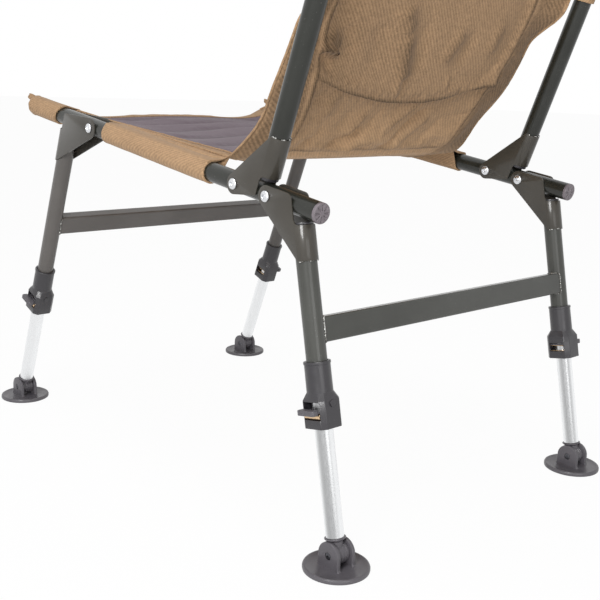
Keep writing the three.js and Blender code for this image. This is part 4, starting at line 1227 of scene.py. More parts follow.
class Padding:
    """Grid of the padding's skin: rings round the padding, stepped along it.

    A ring runs across the face from left to right, down the right strip, back across the rear panel and up
    the left strip. Kinds of place: 1 on the face, 0 on a strip, -1 on the rear panel.
    """

    def __init__(self, sizes, tubing):
        self.sizes, self.path = sizes, PaddingPath(sizes, tubing)
        self.rows = int(round(self.path.length / sizes.cell))
        self.along = sizes.cell * np.arange(self.rows + 1)
        self.along[-1] = self.path.length
        self.border = 3
        half, panel = sizes.half_width - 0.001, sizes.panel_half_width
        edge = np.linspace(half, panel, self.border + 1)
        inside = np.linspace(panel, -panel, 2 * int(panel / sizes.cell) + 1)
        self.top_x = np.concatenate([edge, inside[1:-1], -edge[::-1]])
        self.tops = len(self.top_x)
        self.rear_x = np.linspace(-sizes.rear_half_width, sizes.rear_half_width, self.tops)
        self.sides = 5
        self.count = 2 * (self.tops + self.sides)
        self.first_row, self.last_row = 5, self.rows - 9
        self.seam_row = self.row_at(sizes.seam_base)
        self.channel_rows = [row for row in self.rows_of_channels() if self.first_row < row < self.last_row]
        self.build()

    def row_at(self, along):
        return int(round(along / self.sizes.cell))

    def rows_of_channels(self):
        """Rows of the face's sewn channels: from the crease over the seat, from the pivot up the back."""
        pitch, path = self.sizes.channel_pitch, self.path
        seat = [path.crease - pitch * i for i in range(1, 6)]
        back = [path.length - path.top + pitch * i for i in range(1, 8)]
        return sorted(self.row_at(level) for level in seat + back)

    def seam_level(self, x):
        """Where the sagging seam of the rear panel runs."""
        sizes = self.sizes
        return sizes.seam_low + sizes.seam_rise * ((x - 0.01) / sizes.rear_half_width) ** 2

    def rear_along(self, x, along):
        """Rows of the rear panel bend so that one of them follows the sagging seam."""
        base = self.along[self.seam_row]
        near = np.clip(1 - np.abs(along - base) / 0.13, 0, 1)
        return along + (self.seam_level(x) - base) * (1 - np.cos(math.pi * near)) / 2

    def hem_level(self):
        """Where the rear panel's straight hem runs, over the crease."""
        return self.path.crease + self.sizes.hem_rise

    def rear_share(self, along):
        """The rear panel is narrower under the sagging seam and a little wider to the left."""
        part = np.clip((along - self.sizes.seam_base + 0.075) / 0.15, 0, 1)
        across = self.rear_x / self.sizes.rear_half_width
        return 0.89 + 0.145 * part * part * (3 - 2 * part) + 0.025 * across

    def dip(self, x, along):
        """How far the padding hangs between its edges: a flat basin at the seat, an even bow at the back."""
        path, sizes = self.path, self.sizes
        across = np.clip(np.abs(x) / path.at(path.width, along), 0, 1)
        power = between(sizes.seat_basin, sizes.back_basin, path.at(path.upright, along))
        return path.at(path.hollow, along) * (1 - across**power), 1 - across**2

    def top_height(self, x, along):
        path, sizes = self.path, self.sizes
        dip, inward = self.dip(x, along)
        edge = between(sizes.seat_edge, sizes.back_edge, path.at(path.upright, along))
        edge = edge - sizes.gusset_back / sizes.back_thickness * self.gusset(along)
        rise = edge + (0.46 - edge) * inward ** (1 - 0.5 * path.at(path.upright, along))
        pad = path.at(path.swell, along) * inward**0.4 * sizes.crown
        return path.at(path.thick, along) * rise - dip + pad + self.channel_bulge(x, along)

    def gusset(self, along):
        """0 below the pocket, 1 where the padding's sides are drawn out and back to the hoop."""
        start = self.path.length - self.path.top + self.sizes.back_start - GUSSET_RUN
        return eased(np.clip((along - start) / GUSSET_RUN, 0, 1))

    def channel_bulge(self, x, along):
        """The face swells evenly between the sewn channels."""
        seams = self.along[self.channel_rows]
        away = np.min(np.abs(np.asarray(along)[..., None] - seams), axis=-1)
        part = np.clip(away / (self.sizes.channel_pitch / 2), 0, 1)
        inside = np.clip((self.sizes.panel_half_width - np.abs(x)) / 0.03, 0, 1) ** 0.5
        return self.sizes.channel_depth * (1 - (1 - part) ** 2.2 - 0.5) * inside

    def rear_height(self, x, along):
        path = self.path
        dip, inward = self.dip(x, along)
        thick = path.at(path.thick, along)
        drawn_in = self.sizes.crease_lift * np.exp(-((along - path.crease) / 0.024) ** 2) * np.sqrt(inward)
        return -thick * (0.06 + 0.30 * np.sqrt(inward)) - dip - self.rear_bulge(x, along) + drawn_in

    def rear_bulge(self, x, along):
        """The rear panel swells over the sagging seam and hangs flatter under it."""
        above = along - self.seam_level(x)
        near_edge = 1 - np.abs(x / self.sizes.rear_half_width) ** 6
        upper = np.where(above > 0, 1 - np.exp(-np.clip(above, 0, 1) / 0.012), 0.0)
        lower = np.where(above < 0, 1 - np.exp(np.clip(above, -1, 0) / 0.030), 0.0)
        over_hem = np.clip(along - self.path.crease - self.sizes.hem_rise, 0, 1)
        hem = 1 - np.exp(-over_hem / 0.010)
        top = 1 - np.exp(-np.clip(self.path.length - along, 0, 1) / 0.05)
        ledge = self.sizes.hem_ledge * np.clip(over_hem / 0.003, 0, 1) * near_edge * top
        return ledge + near_edge * top * hem * self.sizes.rear_swell * (upper + 0.3 * lower)

    def build(self):
        sizes, path = self.sizes, self.path
        rings, flats = [], []
        scale = path.at(path.width, self.along) / sizes.half_width
        steps = np.linspace(0, 1, self.sides + 2)[1:-1, None]
        bow = 0.0035 * np.sin(math.pi * steps) * np.array((1, 0, 0))
        half = sizes.half_width
        for row, along in enumerate(self.along):
            waist = sizes.waist * math.exp(-((along - path.crease - 0.070) / 0.042) ** 2)
            drawn_out = 1 + (sizes.gusset_out * self.gusset(along) - waist) / half * (self.top_x / half) ** 4
            top_x = self.top_x * scale[row] * drawn_out
            rear_x = self.rear_x * scale[row] * self.rear_share(along)
            here = np.full(self.tops, along)
            top = path.point(top_x, here, self.top_height(top_x, here))
            rear_here = self.rear_along(rear_x, here)
            rear = path.point(rear_x, rear_here, self.rear_height(rear_x, rear_here))
            right = top[-1] + (rear[0] - top[-1]) * steps - bow
            left = rear[-1] + (top[0] - rear[-1]) * steps + bow
            rings.append(np.concatenate([top, right, rear, left]))
            strip = np.column_stack([np.full(self.sides, sizes.half_width), np.full(self.sides, along),
                                     np.zeros(self.sides)])
            flats.append(np.concatenate([
                np.column_stack([self.top_x, here, np.full(self.tops, 1.0)]), strip * (-1, 1, 1),
                np.column_stack([self.rear_x, rear_here, np.full(self.tops, -1.0)]), strip]))
        self.points = np.concatenate(rings)
        self.flat = np.concatenate(flats)

    def index(self, row, column):
        return row * self.count + column % self.count

    def faces(self):
        """Faces of the skin, and 1 for each that belongs to the dark panel."""
        faces, dark = [], []
        for row in range(self.rows):
            for column in range(self.count):
                near = self.index(row, column), self.index(row, column + 1)
                far = self.index(row + 1, column + 1), self.index(row + 1, column)
                faces.append(near + far)
                across = self.border <= column < self.tops - 1 - self.border
                dark.append(1 if across and self.first_row <= row < self.last_row else 0)
        bottom = self.tops + self.sides
        for row, flip in ((0, False), (self.rows, True)):
            for column in range(self.tops - 1):
                beneath = bottom + self.tops - 1 - column
                face = tuple(self.index(row, spot) for spot in (column + 1, column, beneath, beneath - 1))
                faces.append(face[::-1] if flip else face)
            for first in (self.tops - 1, bottom + self.tops - 1):
                side = tuple(self.index(row, first + i) for i in range(self.sides + 2))
                faces.append(side if flip else side[::-1])
        dark += [0] * (len(faces) - len(dark))
        return faces, dark

    def seams(self):
        """Grid places along every seam, by kind."""
        tops, rows = self.tops, range(self.rows + 1)
        rear = range(tops + self.sides, 2 * tops + self.sides)
        panel_rows = range(self.first_row, self.last_row + 1)
        panel_columns = range(self.border, tops - self.border)
        crease, hem = self.row_at(self.path.crease), self.row_at(self.hem_level())

        def along(rows, *columns):
            return [[(row, column) for row in rows] for column in columns]

        def across(columns, *rows):
            return [[(row, column) for column in columns] for row in rows]

        return {
            "face_edges": along(rows, 0, tops - 1), "rear_edges": along(rows, rear[0], rear[-1]),
            "panel": along(panel_rows, panel_columns[0], panel_columns[-1])
            + across(panel_columns, self.first_row, self.last_row),
            "channels": across(panel_columns, *self.channel_rows),
            "sagging": across(rear, self.seam_row), "hems": across(rear, crease, hem),
            "ends": across(range(self.count), 0, self.rows),
        }

    def mesh(self, name):
        faces, dark = self.faces()
        mesh = bpy.data.meshes.new(name)
        mesh.from_pydata(self.points.tolist(), [], faces)
        for finish in ("tan", "dark"):
            mesh.materials.append(finishes()[finish])
        mesh.polygons.foreach_set("material_index", dark)
        self.cloth_map(mesh)
        flat = mesh.attributes.new("flat", "FLOAT_VECTOR", "POINT")
        flat.data.foreach_set("vector", self.flat.astype(np.float32).ravel())
        return mesh

    def cloth_map(self, mesh):
        """Cloth map in metres: across the face, then the right strip, the rear panel and the left strip."""
        layer = mesh.uv_layers.new(name="cloth")
        strip = 0.0065 * np.arange(1, self.sides + 1)
        across = np.concatenate([0.25 - self.top_x, 0.48 + strip, 0.80 + self.rear_x, 1.0 + strip])
        loops = values_of(mesh.loops, "vertex_index", kind=int)
        column, row = loops % self.count, loops // self.count
        u, v = across[column], self.along[row]
        starts = values_of(mesh.polygons, "loop_start", kind=int)
        for start in starts[: self.rows * self.count][self.count - 1::self.count]:
            span = slice(start, start + 4)
            u[span] = np.where(column[span] == 0, across[-1] + 0.0065, u[span])
        layer.data.foreach_set("uv", np.column_stack([u, v]).astype(np.float32).ravel())


def cloth_settled(piece, pinned, sizes):
    """The fabric, pinned at its seams, swells over its filling and puckers. Returns each point's move."""
    group = piece.vertex_groups.new(name="seams")
    group.add([int(i) for i in np.nonzero(pinned)[0]], 1.0, "REPLACE")
    before = points_of(piece.data)
    modifier = piece.modifiers.new("cloth", "CLOTH")
    cloth = modifier.settings
    cloth.quality = 4
    cloth.mass = 0.25
    cloth.tension_stiffness = 12
    cloth.compression_stiffness = 12
    cloth.shear_stiffness = 4
    cloth.bending_stiffness = 0.15
    cloth.vertex_group_mass = "seams"
    cloth.pin_stiffness = 1.0
    cloth.shrink_min = -sizes.growth
    cloth.use_pressure = True
    cloth.uniform_pressure_force = sizes.pressure
    cloth.effector_weights.gravity = 0.0
    modifier.collision_settings.use_collision = False
    modifier.point_cache.frame_start = 1
    modifier.point_cache.frame_end = CLOTH_FRAMES
    scene = bpy.context.scene
    for number in range(1, CLOTH_FRAMES + 1):
        scene.frame_set(number)
    graph = bpy.context.evaluated_depsgraph_get()
    result = piece.evaluated_get(graph).to_mesh()
    after = points_of(result)
    piece.evaluated_get(graph).to_mesh_clear()
    piece.modifiers.clear()
    piece.vertex_groups.clear()
    scene.frame_set(1)
    return after - before


def values_of(items, key, width=1, kind=float):
    """One value, or a row of them, from each point, edge, corner or face of a mesh."""
    values = np.zeros(len(items) * width, kind)
    items.foreach_get(key, values)
    return values.reshape(-1, width) if width > 1 else values


def points_of(mesh):
    return values_of(mesh.vertices, "co", 3)


def normals_of(mesh):
    return values_of(mesh.vertices, "normal", 3)


def set_points(mesh, points):
    mesh.vertices.foreach_set("co", np.asarray(points, np.float32).ravel())
    mesh.update()


# Share of the cloth's puckers that shows on the face and under the seat, and on the strips
FACE_CALM = 0.25
STRIP_CALM = 0.4

# Loose folds of the rear panel: from and to (across, along), height and width
FOLDS = (
    (0.066, 0.722, 0.050, 0.690, -0.0060, 0.014), (0.050, 0.690, 0.028, 0.625, -0.0075, 0.013),
    (0.024, 0.705, 0.006, 0.640, 0.0035, 0.014), (0.100, 0.700, 0.084, 0.640, 0.0035, 0.016),
    (-0.054, 0.700, -0.036, 0.655, -0.0050, 0.010), (-0.080, 0.700, -0.066, 0.650, 0.0030, 0.012),
    (-0.126, 0.712, -0.124, 0.672, -0.0045, 0.011), (0.038, 0.632, 0.031, 0.602, -0.0040, 0.004),
    (0.024, 0.628, 0.020, 0.604, 0.0022, 0.004), (-0.062, 0.636, -0.070, 0.616, -0.0030, 0.004),
    (0.192, 0.667, 0.146, 0.653, -0.0110, 0.0055), (0.176, 0.676, 0.150, 0.667, -0.0085, 0.011),
    (0.186, 0.650, 0.152, 0.638, 0.0060, 0.009), (0.150, 0.690, 0.128, 0.660, 0.0040, 0.012),
    (-0.016, 0.514, -0.072, 0.576, 0.0065, 0.007), (0.000, 0.546, -0.036, 0.590, -0.0060, 0.008),
    (-0.040, 0.514, -0.090, 0.566, -0.0040, 0.008), (0.104, 0.512, 0.048, 0.543, 0.0060, 0.008),
    (0.078, 0.530, 0.060, 0.574, -0.0055, 0.007), (0.098, 0.540, 0.088, 0.572, 0.0030, 0.008),
    (0.040, 0.545, 0.026, 0.580, 0.0035, 0.008), (0.070, 0.512, 0.020, 0.524, -0.0035, 0.006),
    (-0.098, 0.524, -0.128, 0.560, 0.0030, 0.010), (0.140, 0.560, 0.128, 0.604, -0.0035, 0.009),
    (-0.192, 0.640, -0.160, 0.622, -0.0050, 0.004), (0.150, 0.516, 0.128, 0.545, 0.0040, 0.008),
)


def fold_height(flat):
    """Height of the loose folds at each place of the rear panel, and the shade painted into their hollows."""
    height, shade = np.zeros(len(flat)), np.zeros(len(flat))
    for x0, s0, x1, s1, amount, width in FOLDS:
        start, run = np.array((x0, s0)), np.array((x1 - x0, s1 - s0))
        t = np.clip(((flat[:, :2] - start) @ run) / (run @ run), 0, 1)
        away = np.linalg.norm(flat[:, :2] - start - t[:, None] * run, axis=1)
        at_seam = abs(x0) > 0.178
        ends = np.clip((1 - t) * 3, 0, 1) if at_seam else np.clip(np.minimum(t, 1 - t) * 5 + 0.25, 0, 1)
        fold = amount * np.exp(-(away / width) ** 2) * ends
        height += fold
        # painted shade: the deeper a fold's hollow, the darker its colour
        shade = np.maximum(shade, np.clip(-fold / 0.011, 0, 0.8))
    on_rear = flat[:, 2] < -0.5
    return height * on_rear, shade * on_rear


def painted_cloth_shading(padding, flat):
    """Painted shade of each place: darker on the strips and over the rear panel's sagging seam, painted light
    on the hem.
    """
    along, face = flat[:, 1], flat[:, 2]
    crease, hem = padding.path.crease, padding.hem_level()
    rear = face < -0.5
    painted_shading = rear * (0.40 * np.clip((along - hem - 0.02) / 0.07, 0, 1) - 0.17)
    painted_shading += 0.72 * (np.abs(face) < 0.5) * np.clip((along - crease) / 0.04, 0, 1)
    hemmed = rear * np.clip((along - crease + 0.004) / 0.008, 0, 1)
    painted_shading -= 0.42 * hemmed * np.clip((hem - along) / 0.006, 0, 1)
    return painted_shading


def dressed_padding(name, padding):
    """The padding as one closed cloth skin, swollen between its seams."""
    sizes = padding.sizes
    piece = bpy.data.objects.new(name, padding.mesh(name))
    bpy.context.scene.collection.objects.link(piece)
    pinned = np.zeros(len(padding.points), bool)
    for lines in padding.seams().values():
        for line in lines:
            for row, column in line:
                pinned[padding.index(row, column)] = True
    mesh = piece.data
    move = cloth_settled(piece, pinned, sizes)
    far = np.linalg.norm(move, axis=1, keepdims=True)
    face, along = padding.flat[:, 2:], padding.flat[:, 1:2]
    calm = np.where((face > 0.5) | (along < padding.path.crease), FACE_CALM, 1.0)
    calm = np.where(np.abs(face) < 0.5, STRIP_CALM, calm)
    move = move * calm * np.tanh(far / sizes.swell) * sizes.swell / np.maximum(far, 1e-9)
    points = padding.points + move
    limit = sizes.half_width + 0.0055
    points[:, 0] = np.clip(points[:, 0], -limit, limit)
    set_points(mesh, points)
    modifier = piece.modifiers.new("finer", "SUBSURF")
    modifier.levels = modifier.render_levels = 1
    settled(piece)
    mesh = piece.data
    flat = values_of(mesh.attributes["flat"].data, "vector", 3, np.float32).astype(float)
    sewn, crease = seam_marks(padding, flat)
    folds, shade = fold_height(flat)
    # crease gathers painted shade of seams, fold hollows and strips and painted light on the hem; the cloth
    # shaders darken their colour by it
    height, crease = folds - sewn, np.maximum(crease, shade) + painted_cloth_shading(padding, flat)
    set_points(mesh, points_of(mesh) + normals_of(mesh) * height[:, None])
    layer = mesh.attributes.new("crease", "FLOAT", "POINT")
    layer.data.foreach_set("value", crease.astype(np.float32))
    mesh.attributes.remove(mesh.attributes["flat"])
    return piece


def uneven_wave(along, pitch, drift, amount):
    """A wave whose crests come closer and draw apart as it runs on."""
    return np.sin(along * 2 * math.pi / pitch + amount * np.sin(along * 2 * math.pi / drift))


def seam_marks(padding, flat):
    """How deep each seam draws the fabric in, with small puckers beside it, and how much shade is painted
    into its crease.
    """
    x, along, face = flat.T
    sizes = padding.sizes
    top, rear, strip = face > 0.5, face < -0.5, np.abs(face) < 0.5
    inside = top & (np.abs(x) < sizes.panel_half_width + 0.001)
    depth, crease = np.zeros(len(x)), np.zeros(len(x))

    def draw(where, distance, run, amount, reach, pucker):
        wave = 0.5 + 0.5 * uneven_wave(run, 0.013, 0.071, 2.0)
        line = np.exp(-(distance / reach) ** 2)
        beside = np.exp(-((distance - 0.009) / 0.007) ** 2)
        depth[where] += (amount * line + pucker * wave * beside)[where]
        # painted shade along the seam line and in the puckers beside it
        crease[where] = np.maximum(crease[where], (line + beside * wave * 0.25)[where])

    for row in padding.channel_rows:
        draw(inside, np.abs(along - padding.along[row]), x, 0.0010, 0.0030, 0.0003)
    draw(top, np.abs(np.abs(x) - sizes.panel_half_width), along, 0.0008, 0.003, 0.0010)
    draw(rear, np.abs(along - padding.seam_level(x)), x, 0.0042, 0.0019, 0.0009)
    draw(rear, np.abs(np.abs(x) - sizes.rear_half_width), along, 0.0022, 0.0019, 0.0010)
    draw(rear, np.abs(along - padding.hem_level()), x, 0.0016, 0.0018, 0.0004)
    folds = np.clip(uneven_wave(along, 0.083, 0.21, 3.0), 0.55, 1) - 0.55
    depth[strip] += 0.006 * folds[strip]
    return depth, np.clip(crease, 0, 1)


@cache
def piping_tree():
    """A round cord along a seam."""
    tree = GrowthTree("piping", ("Radius", "Float", 0.0016))
    even = tree.node("GeometryNodeResampleCurve", {"mode": "LENGTH"}, {"Curve": tree.path(), "Length": 0.006})
    return tree.sweep(even, 8)


@cache
def stitches_tree():
    """A row of stitches along a seam."""
    tree = GrowthTree("stitches", ("Stitch", "Float", 0.0042), ("Thread", "Float", 0.00035))
    return tree.end(tree.row("Stitch", tree.rod(6, tree["Thread"], 0.0028), aligned=True))


def sleeve_ring(radius, web, level, ridge=0.0, count=48):
    """Section of a sleeve round a tube, x towards the padding: drawn out to a web at the upper inner side,
    with a soft fold at the upper outer side."""
    turn = full_turn(count)
    reach = np.clip(np.cos(turn - 0.55), 0, 1) ** 8
    fold = np.exp(-((turn - 2.10) / 0.16) ** 2) - 0.5 * np.exp(-((turn - 2.75) / 0.45) ** 2)
    size = radius * (1 + ridge * fold)
    return size * np.cos(turn) + web * reach, size * np.sin(turn) * (1 - 0.8 * reach) + level * reach, turn


# Gathered end of a front sleeve: from its tip back to the sleeve (along, radius, lift, gathers)
SLEEVE_TAIL = (
    (-0.0286, 0.0004, 0.0088, 0.00), (-0.0284, 0.0020, 0.0088, 0.10), (-0.0250, 0.0029, 0.0086, 0.18),
    (-0.0180, 0.0031, 0.0080, 0.22), (-0.0120, 0.0035, 0.0070, 0.24), (-0.0085, 0.0045, 0.0058, 0.22),
    (-0.0060, 0.0068, 0.0042, 0.16), (-0.0038, 0.0102, 0.0024, 0.10), (-0.0018, 0.0132, 0.0010, 0.05),
    (0.0004, 0.0151, 0.0002, 0.02), (0.0040, 0.0160, 0.0, 0.01),
)


def rail_sleeve(start, end, side, tubing, sizes, tail):
    """Fabric round a rail from start to end, as rings along it; a gathered tail closes the front one."""
    x0 = side * tubing.spacing / 2
    inner, outer = tubing.radius + 0.0004, tubing.radius + 0.0030
    rings = []
    rear = tubing.backrest_setback - sizes.crease_setback
    climb = (sizes.rear_level - sizes.front_level) / (rear + tubing.rail_overhang)

    def ring(along, radius, web=0.0, lift=0.0, gathers=0.0, ridge=0.0):
        level = sizes.front_level + climb * (along + tubing.rail_overhang)
        x, z, turn = sleeve_ring(radius, web, level, ridge)
        twist = 0.12 * ridge * np.sin(3 * turn + along * 70) * np.sin(along * 43)
        ripple = 1 + gathers * np.sin(9 * turn) + twist
        slant = 0.45 * z * min(max((along - end) / 0.03 + 1, 0.0), 1.0) if tail else 0.0 * z
        rings.append(np.column_stack([x0 - side * x * ripple, along + slant, z * ripple + lift]))

    if tail:
        for gone, radius, lift, gathers in SLEEVE_TAIL:
            ring(start + gone, radius, 0.0, lift, gathers)
    else:
        ring(start - 0.0002, inner, 0.012)
        ring(start - 0.0005, outer - 0.0006, 0.012, ridge=0.03)
    for along in np.linspace(start + (0.010 if tail else 0.0), end, int((end - start) / 0.0035)):
        near = min(along - start, end - along)
        hem = 0.0006 * math.exp(-((near - 0.009) / 0.0016) ** 2)
        grown_in = min(1.0, (along - start) / 0.02) if tail else 1.0
        ring(along, outer - hem, 0.0125 * grown_in, ridge=0.09 * grown_in)
    ring(end + 0.0005, outer - 0.0006, 0.012, ridge=0.03)
    ring(end + 0.0002, inner, 0.012)
    ring(end - 0.012, inner)
    if tail:
        ring(start + 0.012, inner)
        ring(start + 0.001, 0.0004)
        return skin(rings)
    ring(start + 0.012, inner)
    return skin(rings, closed=True)


def hoop_path(tubing, start):
    """Middle of the backrest hoop, in the backrest's frame, from the left foot over the top to the right."""
    half = tubing.spacing / 2
    bend, top = tubing.bow_radius, tubing.backrest_top + tubing.bow_rise
    rise = top - bend
    points = [(half, z) for z in np.linspace(start, rise, 40)]
    points += arc((half - bend, rise), bend, 0, math.pi / 2, 14)[1:]
    points += [(x, top) for x in np.linspace(half - bend, -(half - bend), 24)[1:]]
    points += arc((-(half - bend), rise), bend, math.pi / 2, math.pi, 14)[1:]
    points += [(-half, z) for z in np.linspace(rise, start, 40)[1:]]
    return np.array([(x, tubing.backrest_offset, z) for x, z in points])


# Foot of the hoop pocket above the pivot, and its web beside the straight tubes and at the bends
POCKET_START, POCKET_WEB, BEND_WEB = 0.281, 0.024, 0.040


def hoop_pocket(tubing, sizes):
    """The fabric pocket over the hoop: a sleeve along it with a web forward and inward to the padding."""
    path = hoop_path(tubing, POCKET_START)
    heading = np.gradient(path, axis=0)
    heading /= np.linalg.norm(heading, axis=1, keepdims=True)
    forward = np.array((0.0, -1.0, 0.0))
    inward = np.cross(forward, heading)
    walked = np.concatenate([[0], np.cumsum(np.linalg.norm(np.diff(path, axis=0), axis=1))])
    turn = full_turn(40)
    reach = np.clip(np.cos(turn), 0, 1) ** 5
    outer, inner = tubing.radius + 0.0034, tubing.radius + 0.0004
    straight = tubing.backrest_top + tubing.bow_rise - tubing.bow_radius
    outside, inside = [], []
    for spot, side, gone in zip(path, inward, walked):
        at_bend = spot[2] > straight and abs(spot[0]) > tubing.spacing / 2 - tubing.bow_radius
        web = BEND_WEB if at_bend else POCKET_WEB
        radius = outer + 0.0005 * math.sin(gone * 60) + 0.0004 * math.sin(gone * 23)
        across = radius * np.cos(turn) + web * reach
        bowed = 0.0
        if spot[2] > straight:
            bowed = sizes.back_hollow * max(0.0, 1 - (spot[0] / sizes.back_half_width) ** 2)
        ahead = radius * np.sin(turn) * (1 - 0.6 * reach) + (0.020 + bowed) * reach
        outside.append(spot + across[:, None] * side + ahead[:, None] * forward)
        inside.append(spot + inner * np.cos(turn)[:, None] * side + inner * np.sin(turn)[:, None] * forward)
    return skin(outside + inside[::-1], closed=True)


def wrapped_map(piece, upright=False):
    """Cloth map in metres for a sleeve: round it and along it, from the places of its corners."""
    mesh = piece.data
    loops = values_of(mesh.loops, "vertex_index", kind=int)
    x, y, z = points_of(mesh)[loops].T
    layer = mesh.uv_layers.new(name="cloth")
    flat = np.column_stack([1.4 * y, z - np.abs(x)] if upright else [z - np.abs(x), y])
    layer.data.foreach_set("uv", flat.astype(np.float32).ravel())
    return piece


# Operators

class ChairPieces:
    """What the operators share"""

    bl_options = {"REGISTER", "UNDO"}

    def sizes(self, context):
        scene = context.scene
        return scene.chair_tubing, scene.chair_fittings, scene.chair_padding


def add_piece(name, shape, finish, place, body, slot, *nodes):
    return fit_out(object_of(name, shape, finish), place, body, nodes)


def leg_ends(tubing):
    """Each end of the chair: its name, which way it lies, its leg body's frame and its sizes by name."""
    for end, towards in ENDS:
        sizes = {key: getattr(tubing, f"{end}_{key}") for key in ("offset", "collar", "bar", "lean")}
        yield end, towards, body_frames()[f"{end}_legs"], sizes


class CHAIR_OT_rails(ChairPieces, bpy.types.Operator):
    """Side rails with their spoked end plugs"""

    bl_idname = "chair.rails"
    bl_label = "Side rails"

    def execute(self, context):
        tubing, _, _ = self.sizes(context)
        seat = body_frames()["seat_frame"]
        end = tubing.rail_length - tubing.rail_overhang
        for side, sign in SIDES:
            x = sign * tubing.spacing / 2
            path = [(x, -tubing.rail_overhang, 0), (x, end, 0)]
            rail = path_tube(f"rail_{side}_tube", path, tubing.radius, "paint")
            fit_out(rail, seat, "seat_frame", [f"rail_{side}"])
            add_piece(f"rail_{side}_cap", spoked_face(tubing, 0.0045), "plug",
                      seat @ placed(x, end, turn=-math.pi / 2), "seat_frame", "black_plastic",
                      f"rail_end_plug_{side}")
        return {"FINISHED"}


class CHAIR_OT_backrest_hoop(ChairPieces, bpy.types.Operator):
    """Bent tube of the backrest with a plug in each foot"""

    bl_idname = "chair.backrest_hoop"
    bl_label = "Backrest hoop"

    def execute(self, context):
        tubing, _, _ = self.sizes(context)
        back = body_frames()["backrest"]
        hoop = path_tube("backrest_hoop", hoop_path(tubing, tubing.backrest_start), tubing.radius, "paint")
        fit_out(hoop, back, "backrest",
                ["backrest_tube_left", "backrest_tube_right", "backrest_hoop_top"])
        for side, sign in SIDES:
            foot = placed(sign * tubing.spacing / 2, tubing.backrest_offset, tubing.backrest_start, math.pi)
            add_piece(f"backrest_{side}_cap", plain_plug(tubing, 0.0045),
                      "black", back @ foot, "backrest", "black_plastic", f"backrest_tube_plug_{side}")
        return {"FINISHED"}


class CHAIR_OT_leg_frames(ChairPieces, bpy.types.Operator):
    """Leg tubes, crossbars with their welds, and the plugs in the rear tubes"""

    bl_idname = "chair.leg_frames"
    bl_label = "Leg frames"

    def execute(self, context):
        tubing, _, _ = self.sizes(context)
        for end, towards, legs, sizes in leg_ends(tubing):
            body, y = f"{end}_legs", towards * sizes["offset"]
            for side, sign in SIDES:
                x = sign * tubing.spacing / 2
                path = [(x, y, -sizes["collar"] - 0.0315), (x, y, -tubing.leg_top)]
                tube = path_tube(f"{end}_{side}_leg", path, tubing.radius, body)
                fit_out(tube, legs, body, [f"{end}_leg_tube_{side}"])
                if end == "rear":
                    add_piece(f"rear_{side}_leg_cap",
                              plain_plug(tubing, 0.0032),
                              "black", legs @ placed(x, y, -tubing.leg_top), body, "black_plastic",
                              f"rear_leg_top_plug_{side}")
            bar, paths = coped_bar(tubing)
            place = legs @ placed(0, y, -sizes["bar"])
            add_piece(f"{end}_bar", bar, body, place, body, "painted_steel", f"{end}_crossbar")
            weld(f"{end}_bar_welds", paths, 0.0011, place, body, 5 + towards)
        return {"FINISHED"}


class CHAIR_OT_brackets(ChairPieces, bpy.types.Operator):
    """Folded hinge brackets with the weld tacks on their wraps"""

    bl_idname = "chair.brackets"
    bl_label = "Hinge brackets"

    def execute(self, context):
        tubing, _, _ = self.sizes(context)
        for plan in bracket_plans(tubing):
            frame, stem, flips = body_frames()[plan.body], plan.stem, plan.flips
            tacks = []
            for side, sign in SIDES:
                x = sign * tubing.spacing / 2
                bracket = stamped_bracket(f"{stem}_{side}_sheet", tubing, plan)
                fit_out(bracket, frame @ placed(x), plan.body, [f"{stem}_{side}"])
                for middle in TACKS:
                    edge = arc((x, plan.offset), tubing.radius + 0.0006, middle - 0.16, middle + 0.16, 4)
                    level = flips[1] * (plan.start + plan.reach + 0.0004)
                    tacks.append([(across, flips[0] * back, level) for across, back in edge])
            weld(f"{stem}_welds", tacks, 0.0012, frame, plan.body, 11)
        return {"FINISHED"}


class CHAIR_OT_pivot_bolts(ChairPieces, bpy.types.Operator):
    """Domed bolts through the rails at every pivot"""

    bl_idname = "chair.pivot_bolts"
    bl_label = "Pivot bolts"

    def execute(self, context):
        tubing, _, _ = self.sizes(context)
        seat = tubing.radius + 2 * tubing.gap + tubing.sheet
        model = object_of("bolt_model", bolt_shape(seat, 0.007, 0.0036, 0.004))
        smooth(model.data, 50)
        pivots = (("front_leg", 0.0), ("backrest", tubing.backrest_setback),
                  ("rear_leg", tubing.rear_setback))
        bolts = [(side, sign, joint, setback) for side, sign in SIDES for joint, setback in pivots]
        paths = [[(sign * tubing.spacing / 2, setback, 0.0)] for _, sign, _, setback in bolts]
        turns = [(0.4 + setback * 7 + sign, 0.0, 0.0 if sign > 0 else math.pi)
                 for _, sign, _, setback in bolts]
        values = {"Bolt": model, "Finish": finishes()["zinc"]}
        piece = grown("pivot_bolts", bolts_tree(), paths, values, turns)
        bpy.data.objects.remove(model)
        fit_out(piece, body_frames()["seat_frame"], "seat_frame",
                [f"{joint}_pivot_bolt_{side}" for side, _, joint, _ in bolts], 50)
        return {"FINISHED"}


# Places of the weld tacks round a tube, in radians
TACKS = (0.35, 1.25, 2.15, 2.75)

# Travel of a thumb lever from rest
PRESS = 0.0074


